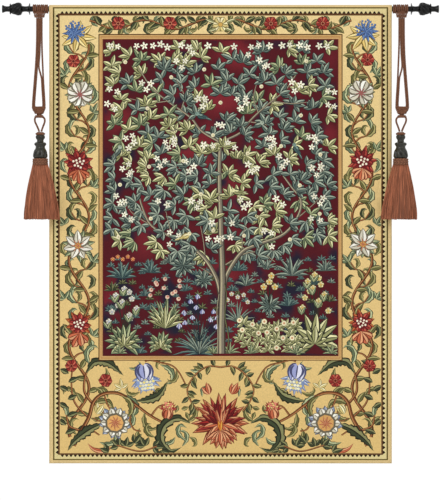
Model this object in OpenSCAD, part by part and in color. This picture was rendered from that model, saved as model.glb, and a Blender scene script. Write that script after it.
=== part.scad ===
// Tapestry wall hanging: a lined woven panel that hangs by a sewn pocket on a slim iron rod, with a turned
// finial screwed into each end of the rod and a tassel looped over the rod at each side of the panel.
// Frame: +X along the rod, +Z up, +Y into the wall, origin on the rod's axis at its middle.

/* [Rod] */
// Outside diameter of the rod
rod_d = 11; // [8:0.5:16]
// Wall of the rod's tube
rod_wall = 1.5; // [1:0.1:2]
// Length of the threaded insert in each end of the rod
insert_l = 15; // [12:1:25]

/* [Finials] */
// Diameter of the collar that closes the rod's end
collar_d = 23; // [18:0.5:30]
// Thickness of the collar
collar_t = 3.5; // [2.5:0.5:6]
// Diameter of the finial's neck
neck_d = 12.5; // [10.5:0.5:15]
// Length of the neck
neck_l = 11.4; // [8:0.2:20]
// Widest diameter of the fluted bulb
bulb_d = 26; // [20:0.5:36]
// Length of the bulb
bulb_l = 23; // [18:0.5:32]
// Diameter of the ring outside the bulb
ring_d = 21.5; // [18:0.5:28]
// Width of the ring
ring_w = 2.5; // [2:0.1:4]
// Diameter of the flared end
flare_d = 15.5; // [13:0.5:20]
// Length of the flared end
flare_l = 15; // [10:0.5:24]
// Diameter of the stud that holds the finial
stud_d = 6.2; // [4:0.1:6.4]
// How far the stud reaches into the rod
stud_in = 12; // [8:0.5:14]

/* [Panel] */
// Width of the hanging panel
panel_w = 680; // [400:1:1200]
// Height of the hanging panel
panel_h = 910; // [500:1:1600]
// Thickness of the woven cloth
weave_t = 1.6; // [1:0.1:2.5]
// Thickness of the pocket's cloth
pocket_t = 0.8; // [0.5:0.1:1.2]
// Drop of the rod pocket below the rod's axis
pocket_drop = 24; // [18:1:60]
// Thickness of the turned hems
hem_t = 1.2; // [0.8:0.1:2]
// Width of the turned hems
hem_w = 20; // [14:1:40]
// Thickness of the lining
lining_t = 0.6; // [0.3:0.1:1]
// How far the lining's edge stands in from the panel's edge
lining_inset = 8; // [4:1:12]
// Width of a seam's thread
thread_w = 0.8; // [0.4:0.1:1.2]

/* [Hitches and cords] */
// Space between the panel's edge and the hitch
hitch_gap = 2; // [1.5:0.5:20]
// Width of the hitch along the rod
hitch_w = 31; // [28:1:40]
// Space between the hitch and the collar
collar_gap = 5; // [2:0.5:30]
// Diameter of the cord that wraps the rod
wrap_d = 3.9; // [3:0.1:4.5]
// Diameter of each strand of the upper loop
strand_d = 3; // [2:0.1:3.1]
// Diameter of the tassel's own cord
tassel_cord_d = 3.4; // [2.4:0.1:4]

/* [Tassels] */
// Widest diameter of the carved head
head_d = 29.6; // [24:0.2:36]
// Diameter of the ring round the head
head_ring_d = 24; // [20:0.5:28]
// Diameter of the cord rosette on the head
rosette_d = 20; // [16:0.5:24]
// Diameter of the braid round the skirt's top
braid_d = 31; // [26:0.5:32]
// Height of the braid
braid_h = 13; // [8:0.5:20]
// Length of the skirt
skirt_l = 108.5; // [60:0.5:140]
// Width of the skirt at its lower end
skirt_w = 72; // [50:1:90]
// Depth of the skirt at its lower end
skirt_deep = 34; // [28:1:36]
// Diameter of the wooden core under the braid
core_d = 16; // [12:0.5:20]

/* [Hidden] */
$fn = 48;
FIT = 0.05;    // running fit, and the space between layers of cloth
GAP = 0.3;     // space between moving pieces
GLUE = 0.02;   // glue line between pieces that do not move
HULL_FN = 32;

rod_r = rod_d / 2;
bore_r = rod_r - rod_wall;
stud_r = min(stud_d / 2, bore_r - 0.6);
pocket_r = rod_r + FIT;
pocket_out_r = pocket_r + pocket_t;
top_r = pocket_out_r + FIT + weave_t;
panel_low = top_r - panel_h;
hem_in = FIT;
hem_out = hem_in + hem_t;
lining_in = hem_out + FIT;
lining_out = lining_in + lining_t;
cloth_top = -pocket_drop - 2;
turn_z = 2;    // where the cloth turned over the rod ends behind it

hitch_x = panel_w / 2 + hitch_gap + hitch_w / 2;
rod_half = panel_w / 2 + hitch_gap + hitch_w + collar_gap;
wrap_r = wrap_d / 2;
wrap_in_r = rod_r + FIT;
wrap_mid_r = wrap_in_r + wrap_r;
wraps = 4;
wrap_pitch = hitch_w / wraps;

// Where the tassel hangs, beside the hitch's middle, in front of the rod and below it
loop_x = 2;
tassel_x = -1;
tassel_y = -21;
knot_z = -211;
knot_r = 3.6;
knot_half = 6;
knot_eye = 0.3;
head_z = -245;
rosette_h = 6;
head_h = 46.4;
braid_z = head_z - rosette_h - head_h - GLUE;
skirt_z = braid_z - braid_h - GLUE;
skirt_low = skirt_z - skirt_l;
skirt_top_w = 32;
skirt_top_deep = 24;
skirt_lean = -3;    // how far the skirt's lower end stands towards the panel
core_up = 14;
core_down = 24;
core_bore = 8;

// The upper loop's two turns of cord, from the hitch down round the knot and up again
OUTER_TURN = [
    [6.3, -9, -19], [6.3, -9.6, -40], [6.5, -10.6, -65], [7.2, -12, -90], [8.6, -14, -115],
    [10.4, -16, -140], [12, -18, -162], [13.4, -20, -182], [13.8, -21, -194], [12.4, -21, -200],
    [8.6, -21, -204], [2, -21, -205], [-4.6, -21, -204], [-8.4, -21, -200], [-9.8, -21, -194],
    [-9.4, -20, -182], [-8, -18, -162], [-6.6, -16, -140], [-5.4, -14, -115], [-4.2, -12, -90],
    [-3.5, -10.6, -65], [-3.3, -9.6, -40], [-3.3, -9, -19]
];
INNER_TURN = [
    [3.1, -9, -19], [3.1, -9.6, -40], [3.3, -10.6, -65], [4, -12, -90], [5.4, -14, -115],
    [7.2, -16, -140], [8.8, -18, -162], [10.2, -20, -182], [10.5, -21, -193], [9, -21, -198],
    [6, -21, -200.8], [2, -21, -201.6], [-2, -21, -200.8], [-5, -21, -198], [-6.5, -21, -193],
    [-6.2, -20, -182], [-4.8, -18, -162], [-3.4, -16, -140], [-1.4, -15, -131], [2.2, -14, -115],
    [0.8, -12, -90], [0.1, -10.6, -65], [-0.1, -9.6, -40], [-0.1, -9, -19]
];
// The two legs of the tassel's own loop, from the knot to the head
OUTER_LEG = [
    [7.9, -21, -215.4], [9.4, -21, -217.6], [9.9, -21, -221], [8.9, -21, -226], [5.6, -21, -233], [2.6, -21, -240],
    [1.1, -21, -244.4]
];
INNER_LEG = [
    [-5.9, -21, -215.6], [-8.6, -21, -217.6], [-9.9, -21, -221], [-9.5, -21, -226], [-6.9, -21, -233],
    [-4.4, -21, -240], [-3.1, -21, -244.4]
];

IRON = "#17181a";
GOLD = "#d8b36b";
LINEN = "#c9bfa6";
THREAD = "#e6d9b4";
CORD = "#6b4333";
CARVED = "#34322a";
RUST = "#985d43";

// ---- Placing: every side piece is drawn on the right-hand side and mirrored to the left ----
module side(left) {
    if (left) mirror([1, 0, 0]) children();
    else children();
}

// Turns a drawing made with its axis on Z so that it lies along the rod, from the rod's end outwards
module on_rod_end() {
    translate([rod_half, 0, 0]) rotate([0, 90, 0]) children();
}

module at_tassel(z) {
    translate([hitch_x + tassel_x, tassel_y, z]) children();
}

// Stands a drawing made with its axis on Z along the rod at x
module along_rod(x) {
    translate([x, 0, 0]) rotate([0, 90, 0]) children();
}

// ---- Cord: rings of points along a route, joined into one closed tube ----
CORD_SIDES = 8;
function unit(v) = v / norm(v);
function heading(route, i) =
    unit(route[min(i + 1, len(route) - 1)] - route[max(i - 1, 0)]);
function ring(middle, along, r) =
    let (across = unit(cross(along, [0, 1, 0])), up = cross(across, along))
    [for (k = [0:CORD_SIDES - 1]) let (a = 360 * k / CORD_SIDES)
        middle + r * (cos(a) * across + sin(a) * up)];
function quads(rings) =
    [for (i = [0:rings - 2], k = [0:CORD_SIDES - 1])
        let (a = i * CORD_SIDES, next = (k + 1) % CORD_SIDES)
        [a + k, a + next, a + CORD_SIDES + next, a + CORD_SIDES + k]];

module cord(route, d) {
    rings = len(route);
    points = [for (i = [0:rings - 1]) each ring(route[i], heading(route, i), d / 2)];
    first = [for (k = [0:CORD_SIDES - 1]) CORD_SIDES - 1 - k];
    last = [for (k = [0:CORD_SIDES - 1]) (rings - 1) * CORD_SIDES + k];
    translate([hitch_x, 0, 0]) polyhedron(points, concat([first], quads(rings), [last]));
}

// ---- Rod and finials ----
module hanging_rod() {
    color(IRON) along_rod(-rod_half) difference() {
        cylinder(h = 2 * rod_half, r = rod_r);
        translate([0, 0, -1]) cylinder(h = insert_l + 1, r = bore_r);
        translate([0, 0, 2 * rod_half - insert_l]) cylinder(h = insert_l + 1, r = bore_r);
        translate([0, 0, insert_l - 1]) cylinder(h = 2 * (rod_half - insert_l) + 2, r = bore_r - 0.4);
    }
}

module end_insert(left) {
    color(IRON) side(left) on_rod_end() translate([0, 0, -insert_l]) difference() {
        cylinder(h = insert_l, r = bore_r - GLUE);
        translate([0, 0, -1]) cylinder(h = insert_l + 2, r = stud_r + FIT);
    }
}

module finial_collar(left) {
    rim = collar_d / 2;
    color(IRON) side(left) on_rod_end() rotate_extrude() polygon([
        [stud_r + FIT, FIT], [rim, FIT], [rim, 0.32 * collar_t], [0.86 * rim, 0.45 * collar_t],
        [0.7 * rim, 0.68 * collar_t], [neck_d / 2, collar_t], [stud_r + FIT, collar_t]
    ]);
}

// The stud passes through the collar and is fixed in the neck
module finial_stud(left) {
    color(IRON) side(left) on_rod_end() translate([0, 0, -stud_in])
        cylinder(h = stud_in + collar_t + neck_l - 3, r = stud_r);
}

module finial_neck(left) {
    r = neck_d / 2;
    color(IRON) side(left) on_rod_end() translate([0, 0, collar_t + FIT]) difference() {
        rotate_extrude() polygon([
            [0, 0], [r, 0], [0.9 * r, 0.18 * neck_l], [0.86 * r, 0.5 * neck_l], [0.92 * r, 0.84 * neck_l],
            [r, neck_l - FIT], [0, neck_l - FIT]
        ]);
        translate([0, 0, -1]) cylinder(h = neck_l - 1.5, r = stud_r + GLUE);
    }
}

// The bulb is drawn as it lies along the rod: it swells quickly and draws in slowly
module finial_bulb(left) {
    r = bulb_d / 2;
    small = neck_d / 2;
    color(IRON) side(left) on_rod_end() translate([0, 0, collar_t + neck_l]) rotate_extrude() polygon([
        [0, 0], [small, 0], [0.72 * r, 0.06 * bulb_l], [0.92 * r, 0.14 * bulb_l], [r, 0.26 * bulb_l],
        [0.99 * r, 0.4 * bulb_l], [0.93 * r, 0.56 * bulb_l], [0.83 * r, 0.74 * bulb_l],
        [0.72 * r, 0.9 * bulb_l], [0.66 * r, bulb_l], [0, bulb_l]
    ]);
}

module finial_ring(left) {
    r = ring_d / 2;
    edge = ring_w / 2;
    color(IRON) side(left) on_rod_end() translate([0, 0, collar_t + neck_l + bulb_l + GLUE + edge]) {
        cylinder(h = ring_w, r = r - edge, center = true);
        rotate_extrude() translate([r - edge, 0]) circle(edge);
    }
}

module finial_flare(left) {
    r = flare_d / 2;
    thin = neck_d / 2;
    base = collar_t + neck_l + bulb_l + ring_w + 2 * GLUE;
    color(IRON) side(left) on_rod_end() translate([0, 0, base]) rotate_extrude() polygon([
        [0, 0], [thin, 0], [0.9 * thin, 0.12 * flare_l], [0.88 * thin, 0.4 * flare_l],
        [0.94 * thin, 0.6 * flare_l], [0.9 * r, 0.78 * flare_l], [r, 0.92 * flare_l],
        [0.94 * r, flare_l], [0, flare_l]
    ]);
}

// ---- Panel ----
// Sections are drawn with the wall to the right and up the page, then run along the rod
module run_along(width) {
    rotate([90, 0, 90]) linear_extrude(width, center = true) children();
}

// Where a line from the point p touches the circle of radius r, on the side that turn picks
function touch(p, r, turn) =
    let (a = atan2(p[1], p[0]) + turn * acos(r / norm(p))) [r * cos(a), r * sin(a)];

// A round of cloth over the rod, drawn in to two points below it
module drawn_in(r, front, back, drop) {
    front_low = [front, -drop];
    back_low = [back, -drop];
    circle(r);
    polygon([[0, 0], touch(front_low, r, -1), front_low, back_low, touch(back_low, r, 1)]);
}

// The angle, past the top and the front, at which a line from the point p touches the circle of radius r
function touch_front(p, r) = 360 + atan2(p[1], p[0]) - acos(r / norm(p));
ARC_STEPS = 30;
function arc(r, from, to) =
    [for (k = [0:ARC_STEPS]) let (a = from + (to - from) * k / ARC_STEPS) [r * cos(a), r * sin(a)]];

// One sheet: over the rod from behind, down its front, and straight down to the foot
module woven_panel() {
    inner_r = pocket_out_r + FIT;
    color(GOLD) run_along(panel_w) polygon(concat(
        arc(top_r, asin(turn_z / top_r), touch_front([-weave_t, -pocket_drop], top_r)),
        [[-weave_t, -pocket_drop], [-weave_t, panel_low], [0, panel_low], [0, -pocket_drop]],
        arc(inner_r, touch_front([0, -pocket_drop], inner_r), asin(turn_z / inner_r))
    ));
}

module rod_pocket() {
    color(LINEN) run_along(panel_w) difference() {
        drawn_in(pocket_out_r, FIT, hem_out, pocket_drop);
        drawn_in(pocket_r, 0.2, 0.5, pocket_drop - 5);
    }
}

module hem_side(left) {
    long = cloth_top - panel_low;
    color(GOLD) side(left) translate([panel_w / 2 - hem_w, hem_in, panel_low]) cube([hem_w, hem_t, long]);
}

module hem_bottom() {
    wide = panel_w - 2 * hem_w - 2 * FIT;
    color(GOLD) translate([-wide / 2, hem_in, panel_low]) cube([wide, hem_t, hem_w]);
}

module lining() {
    wide = panel_w - 2 * lining_inset;
    low = panel_low + lining_inset;
    color(LINEN) translate([-wide / 2, lining_in, low]) cube([wide, lining_t, cloth_top - low]);
}

// Three lines of thread that hold the lining's sides and foot to the hems
module hem_stitching() {
    inset = lining_inset + 2;
    low = panel_low + inset;
    half = panel_w / 2 - inset;
    tall = cloth_top - 2 - low;
    y = lining_out + GLUE;
    color(THREAD) {
        for (x = [-half, half - thread_w]) translate([x, y, low]) cube([thread_w, thread_w / 2, tall]);
        translate([-half + 2 * thread_w, y, low]) cube([2 * half - 4 * thread_w, thread_w / 2, thread_w]);
    }
}

module pocket_stitching() {
    wide = panel_w - 2 * lining_inset;
    color(THREAD) translate([-wide / 2, hem_in, -pocket_drop - 1 - thread_w / 2])
        cube([wide, hem_t, thread_w]);
}

// ---- Hitches, loops and tassels ----
// The doubled cord goes four times round the rod, and its bight crosses in front of the strands
RIDGE_STEPS = 6;
function ridge(i) =
    [for (k = [0:RIDGE_STEPS]) let (a = 150 - 120 * k / RIDGE_STEPS)
        [wrap_mid_r + wrap_r * sin(a), (i - (wraps - 1) / 2) * wrap_pitch + 0.5 * wrap_pitch / cos(30) * cos(a)]];

module hitch(left) {
    half = 0.5 * hitch_w;
    bundle = 4 * (strand_d + 0.2);
    front = OUTER_TURN[0][1] - 2;
    bundle_low = -OUTER_TURN[0][2] - 2.3;
    color(CORD) side(left) difference() {
        union() {
            along_rod(hitch_x) rotate_extrude() polygon(concat(
                [[wrap_in_r, -half], [wrap_mid_r, -half]],
                [for (i = [0:wraps - 1]) each ridge(i)],
                [[wrap_mid_r, half], [wrap_in_r, half]]
            ));
            translate([hitch_x + loop_x - 0.5 - bundle / 2, front, -bundle_low]) cube([bundle, 4, 13]);
            for (z = [-10, -14])
                translate([hitch_x + loop_x - 10, front - 0.6, z]) rotate([0, 90, 0])
                    cylinder(h = 19, r = wrap_r - 0.1);
        }
        along_rod(hitch_x - hitch_w) cylinder(h = 2 * hitch_w, r = wrap_in_r);
    }
}

module upper_loop(left) {
    color(CORD) side(left) {
        cord(OUTER_TURN, strand_d);
        cord(INNER_TURN, strand_d);
    }
}

// The knot lies across the tassel's cord, and its eye stands through it from front to back
module joining_knot(left) {
    r = knot_r;
    half = knot_half;
    color(CORD) side(left) translate([hitch_x + loop_x - 1, tassel_y, knot_z]) {
        rotate([0, 90, 0]) rotate_extrude() polygon([
            [0, -half - r], [0.5 * r, -half - 0.87 * r], [0.87 * r, -half - 0.5 * r], [r, -half],
            [r, half], [0.87 * r, half + 0.5 * r], [0.5 * r, half + 0.87 * r], [0, half + r]
        ]);
        rotate([90, 0, 0]) cylinder(h = 2 * (r + knot_eye), r = r - knot_eye, center = true);
    }
}

module lower_loop(left) {
    color(CORD) side(left) {
        cord(OUTER_LEG, tassel_cord_d);
        cord(INNER_LEG, tassel_cord_d);
    }
}

module tassel_rosette(left) {
    r = rosette_d / 2;
    color(CORD) side(left) at_tassel(head_z - rosette_h - GLUE) rotate_extrude() polygon([
        [0, 0], [0.8 * r, 0], [r, 0.3 * rosette_h], [0.96 * r, 0.6 * rosette_h], [0.7 * r, 0.9 * rosette_h],
        [0.4 * r, rosette_h - 3 * GLUE], [0, rosette_h - 3 * GLUE]
    ]);
}

// Carved head, from its base up: gadrooned bulb, ring, waist and crown
module tassel_head(left) {
    r = head_d / 2;
    ring_r = head_ring_d / 2;
    h = head_h - 3 * GLUE;
    color(CARVED) side(left) at_tassel(braid_z + GLUE) difference() {
        rotate_extrude() polygon([
            [0, 0], [0.8 * r, 0], [0.96 * r, 0.06 * h], [r, 0.14 * h], [0.97 * r, 0.22 * h], [0.87 * r, 0.32 * h],
            [0.72 * r, 0.4 * h], [0.64 * r, 0.44 * h], [0.64 * r, 0.52 * h], [0.92 * ring_r, 0.55 * h],
            [ring_r, 0.61 * h], [0.92 * ring_r, 0.67 * h], [0.62 * ring_r, 0.72 * h], [0.54 * ring_r, 0.77 * h],
            [0.62 * ring_r, 0.82 * h], [0.75 * ring_r, 0.86 * h], [0.75 * ring_r, 0.96 * h],
            [0.66 * ring_r, h], [0, h]
        ]);
        translate([0, 0, -1]) cylinder(h = core_up + 2, r = core_bore / 2);
    }
}

// Wooden core: its spigot is glued into the head, and the braid and the skirt are bound round it
module tassel_core(left) {
    color("#b08a5a") side(left) at_tassel(braid_z) {
        translate([0, 0, -core_down - braid_h]) cylinder(h = core_down + braid_h, r = core_d / 2);
        cylinder(h = core_up, r = core_bore / 2 - GLUE);
    }
}

module skirt_braid(left) {
    r = braid_d / 2;
    color(RUST) side(left) at_tassel(braid_z - braid_h) difference() {
        rotate_extrude() polygon([
            [0, 0], [0.96 * r, 0], [r, 0.14 * braid_h], [r, 0.86 * braid_h], [0.96 * r, braid_h - GLUE],
            [0, braid_h - GLUE]
        ]);
        translate([0, 0, -1]) cylinder(h = braid_h + 2, r = core_d / 2 + GLUE);
    }
}

module skirt_slice(share, wide, deep) {
    translate([skirt_lean * share, 0, -skirt_l * share])
        resize([wide, deep, 0.1]) cylinder(h = 0.1, r = 1, center = true, $fn = HULL_FN);
}

module skirt(left) {
    w = [skirt_top_w, 0.66 * skirt_w, 0.86 * skirt_w, skirt_w];
    d = [skirt_top_deep, 0.88 * skirt_deep, 0.97 * skirt_deep, skirt_deep];
    at = [0.002, 0.32, 0.66, 0.998];
    color(RUST) side(left) difference() {
        at_tassel(skirt_z) union() {
            for (i = [0:2]) hull() {
                skirt_slice(at[i], w[i], d[i]);
                skirt_slice(at[i + 1], w[i + 1], d[i + 1]);
            }
        }
        at_tassel(skirt_z - core_down - 2) cylinder(h = core_down + 4, r = core_d / 2 + GAP);
    }
}

hanging_rod();
woven_panel();
rod_pocket();
lining();
hem_side(true);  // hem_left
hem_side(false);  // hem_right
hem_bottom();
hem_stitching();
pocket_stitching();
end_insert(true);  // left_end_insert
finial_collar(true);  // left_finial_collar
finial_stud(true);  // left_finial_stud
finial_neck(true);  // left_finial_neck
finial_bulb(true);  // left_finial_bulb
finial_ring(true);  // left_finial_ring
finial_flare(true);  // left_finial_flare
end_insert(false);  // right_end_insert
finial_collar(false);  // right_finial_collar
finial_stud(false);  // right_finial_stud
finial_neck(false);  // right_finial_neck
finial_bulb(false);  // right_finial_bulb
finial_ring(false);  // right_finial_ring
finial_flare(false);  // right_finial_flare
hitch(true);  // left_hitch
upper_loop(true);  // left_upper_loop
joining_knot(true);  // left_joining_knot
lower_loop(true);  // left_lower_loop
tassel_rosette(true);  // left_tassel_rosette
tassel_head(true);  // left_tassel_head
tassel_core(true);  // left_tassel_core
skirt_braid(true);  // left_skirt_braid
skirt(true);  // left_skirt
hitch(false);  // right_hitch
upper_loop(false);  // right_upper_loop
joining_knot(false);  // right_joining_knot
lower_loop(false);  // right_lower_loop
tassel_rosette(false);  // right_tassel_rosette
tassel_head(false);  // right_tassel_head
tassel_core(false);  // right_tassel_core
skirt_braid(false);  // right_skirt_braid
skirt(false);  // right_skirt
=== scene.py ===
"""Tapestry wall hanging: woven panel, rod and finials, and two corded tassels, in the part's frame."""
import math
import random

import bmesh
import bpy
import numpy as np
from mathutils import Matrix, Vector, noise
from mathutils.geometry import delaunay_2d_cdt
from mathutils.kdtree import KDTree


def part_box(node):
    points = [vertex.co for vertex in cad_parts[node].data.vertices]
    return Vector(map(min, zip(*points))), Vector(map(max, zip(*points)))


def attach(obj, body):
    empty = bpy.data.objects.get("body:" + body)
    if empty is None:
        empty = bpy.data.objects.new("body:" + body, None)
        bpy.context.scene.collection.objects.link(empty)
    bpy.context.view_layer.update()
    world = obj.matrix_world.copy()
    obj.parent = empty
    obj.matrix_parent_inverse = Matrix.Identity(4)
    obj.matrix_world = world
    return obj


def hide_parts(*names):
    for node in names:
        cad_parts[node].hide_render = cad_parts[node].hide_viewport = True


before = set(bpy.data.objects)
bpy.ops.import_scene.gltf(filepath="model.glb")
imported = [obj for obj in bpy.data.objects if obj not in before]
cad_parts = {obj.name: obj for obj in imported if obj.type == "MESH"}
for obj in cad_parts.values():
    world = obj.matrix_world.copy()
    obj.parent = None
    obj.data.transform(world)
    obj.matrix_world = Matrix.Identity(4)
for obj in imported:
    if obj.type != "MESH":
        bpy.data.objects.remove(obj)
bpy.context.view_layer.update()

bl_info = {
    "name": "Tapestry Wall Hanging",
    "version": (1, 0, 0),
    "blender": (4, 5, 0),
    "location": "View3D > Sidebar > Hanging",
    "description": "Makes a woven tapestry on an iron rod with two corded tassels",
    "category": "Add Mesh",
}

MM = 0.001
SIDES = (("left", -1), ("right", 1))


def size(label, default, about, low=0.0, high=2000.0):
    return bpy.props.FloatProperty(name=label, description=about, default=default, min=low, max=high)


def colour(label, red, green, blue, about):
    return bpy.props.FloatVectorProperty(
        name=label, description=about, subtype="COLOR_GAMMA", size=3, min=0, max=1,
        default=(red / 255, green / 255, blue / 255))


class HANGING_PG_sizes(bpy.types.PropertyGroup):
    """Sizes of the made pieces, in millimetres"""
    ripple: size("Ripple", 1.6, "How far the hanging cloth waves, in mm", 0, 4)
    drawing_grid: size("Drawing grid", 10.0, "Spacing of the cloth's own points, in mm", 4, 20)
    leaf_long: size("Leaf length", 25.0, "Length of the tree's leaves, in mm", 8, 40)
    leaf_gap: size("Leaf cluster gap", 22.0, "Space between the tree's leaf clusters, in mm", 12, 60)
    blossom: size("Blossom radius", 7.6, "Radius of the tree's blossoms, in mm", 3, 15)
    rib_pitch: size("Rib pitch", 1.3, "Height of one woven rib, in mm", 0.4, 4)
    ply_pitch: size("Ply pitch", 8.0, "Length of one turn of a cord's plies, in mm", 3, 20)
    strand: size("Fringe strand", 1.15, "Thickness of one strand of the fringe, in mm", 0.4, 3)
    stitch: size("Stitch length", 4.2, "Length of one hand stitch, in mm", 1, 10)
    strands: bpy.props.IntProperty(name="Fringe strands", description="Strands in each skirt",
                                   default=330, min=40, max=600)
    flutes: bpy.props.IntProperty(name="Flutes", description="Twisted flutes on each finial's bulb",
                                  default=8, min=4, max=16)
    gadroons: bpy.props.IntProperty(name="Gadroons", description="Carved lobes round each tassel head",
                                    default=8, min=5, max=20)
    seed: bpy.props.IntProperty(name="Seed", description="Seed of everything placed by chance",
                                default=11, min=0)


class HANGING_PG_colours(bpy.types.PropertyGroup):
    """Dyes of the cloth and colours of the fittings"""
    field: colour("Field", 82, 17, 26, "Burgundy ground behind the tree")
    crimson: colour("Crimson", 124, 34, 42, "Lighter patches of the field")
    night: colour("Night", 30, 28, 46, "Dark patches of the field")
    gold: colour("Gold", 238, 211, 150, "Border ground at the top")
    amber: colour("Amber", 226, 192, 122, "Border ground at the foot")
    iron: colour("Iron", 5, 5, 5, "Rod and finials")
    cord: colour("Cord", 137, 93, 70, "Hitches, loops and knots")
    carved: colour("Carved wood", 30, 29, 21, "Tassel heads")
    rust: colour("Rust", 170, 104, 74, "Fringe of the skirts")
    lining: colour("Lining", 196, 184, 156, "Cloth behind the panel")


def sizes():
    return bpy.context.scene.hanging_sizes


def colours():
    return bpy.context.scene.hanging_colours


def linear(rgb):
    """A display colour as the linear values that shaders take."""
    return [c / 12.92 if c <= 0.04045 else ((c + 0.055) / 1.055) ** 2.4 for c in rgb]


# ---- Node helpers ----
def put(nodes, kind, x=0, **values):
    """One node at x, whose keywords set its own properties."""
    node = nodes.new(kind)
    node.location = (x, -40 * len(nodes))
    for key, value in values.items():
        setattr(node, key, value)
    return node


def join(tree, source, target):
    tree.links.new(source, target)


def group(name, inputs, outputs):
    """An empty shader group with named sockets, and its two ends."""
    if name in bpy.data.node_groups:
        return bpy.data.node_groups[name], None, None
    tree = bpy.data.node_groups.new(name, "ShaderNodeTree")
    for label, kind, value in inputs:
        socket = tree.interface.new_socket(name=label, in_out="INPUT", socket_type=kind)
        if value is not None:
            socket.default_value = value
    for label, kind in outputs:
        tree.interface.new_socket(name=label, in_out="OUTPUT", socket_type=kind)
    return tree, put(tree.nodes, "NodeGroupInput", -900), put(tree.nodes, "NodeGroupOutput", 700)


def math_node(tree, operation, *values):
    """One Math node over numbers and sockets, and its result."""
    node = put(tree.nodes, "ShaderNodeMath", operation=operation)
    for socket, value in zip(node.inputs, values):
        if isinstance(value, (int, float)):
            socket.default_value = value
        else:
            join(tree, value, socket)
    return node.outputs[0]


def mottle_group():
    """Colour that wanders between two tones, with a finer grain over it."""
    tree, start, end = group(
        "Mottle",
        [("Vector", "NodeSocketVector", None), ("Tone A", "NodeSocketColor", (0.5, 0.5, 0.5, 1)),
         ("Tone B", "NodeSocketColor", (0.4, 0.4, 0.4, 1)), ("Scale", "NodeSocketFloat", 40.0),
         ("Grain", "NodeSocketFloat", 400.0)],
        [("Color", "NodeSocketColor"), ("Height", "NodeSocketFloat")])
    if start is None:
        return tree
    broad, fine = (put(tree.nodes, "ShaderNodeTexNoise", -500) for _ in range(2))
    for node, label in ((broad, "Scale"), (fine, "Grain")):
        join(tree, start.outputs["Vector"], node.inputs["Vector"])
        join(tree, start.outputs[label], node.inputs["Scale"])
        node.inputs["Detail"].default_value = 3
    share = math_node(tree, "ADD", math_node(tree, "MULTIPLY", broad.outputs["Fac"], 0.65),
                      math_node(tree, "MULTIPLY", fine.outputs["Fac"], 0.35))
    ramp = put(tree.nodes, "ShaderNodeMapRange", 100)
    join(tree, share, ramp.inputs["Value"])
    for label, value in (("From Min", 0.36), ("From Max", 0.64)):
        ramp.inputs[label].default_value = value
    mix = put(tree.nodes, "ShaderNodeMix", 300, data_type="RGBA")
    join(tree, ramp.outputs["Result"], mix.inputs["Factor"])
    join(tree, start.outputs["Tone A"], mix.inputs[6])
    join(tree, start.outputs["Tone B"], mix.inputs[7])
    join(tree, mix.outputs[2], end.inputs["Color"])
    join(tree, fine.outputs["Fac"], end.inputs["Height"])
    return tree


def rib_group():
    """Ribs of weft over warp: a tone to multiply by, painted shade in the valleys between ribs with random
    flecks, and a height.
    """
    tree, start, end = group(
        "Woven Ribs",
        [("Vector", "NodeSocketVector", None), ("Rib", "NodeSocketFloat", 750.0),
         ("Warp", "NodeSocketFloat", 500.0), ("Fleck", "NodeSocketFloat", 0.12)],
        [("Tone", "NodeSocketFloat"), ("Height", "NodeSocketFloat")])
    if start is None:
        return tree
    split = put(tree.nodes, "ShaderNodeSeparateXYZ", -700)
    join(tree, start.outputs["Vector"], split.inputs[0])
    turn = 2 * math.pi
    weft = math_node(tree, "SINE", math_node(tree, "MULTIPLY", math_node(
        tree, "MULTIPLY", split.outputs["Z"], start.outputs["Rib"]), turn))
    warp = math_node(tree, "SINE", math_node(tree, "MULTIPLY", math_node(
        tree, "MULTIPLY", split.outputs["X"], start.outputs["Warp"]), turn))
    height = math_node(tree, "ADD", math_node(tree, "MULTIPLY", weft, 0.35),
                       math_node(tree, "MULTIPLY", math_node(tree, "MULTIPLY", weft, warp), 0.15))
    fleck = put(tree.nodes, "ShaderNodeTexNoise", -500)
    join(tree, start.outputs["Vector"], fleck.inputs["Vector"])
    fleck.inputs["Scale"].default_value = 420
    fleck.inputs["Detail"].default_value = 2
    spread = math_node(tree, "MULTIPLY", math_node(tree, "SUBTRACT", fleck.outputs["Fac"], 0.5),
                       math_node(tree, "MULTIPLY", start.outputs["Fleck"], 4))
    # painted shade: the tone follows the ribs' height, darker in the valleys between them
    shaded = math_node(tree, "ADD", math_node(tree, "MULTIPLY", height, 0.16), 0.97)
    tone = math_node(tree, "ADD", shaded, spread)
    join(tree, tone, end.inputs["Tone"])
    join(tree, math_node(tree, "ADD", height, 0.5), end.inputs["Height"])
    return tree


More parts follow.
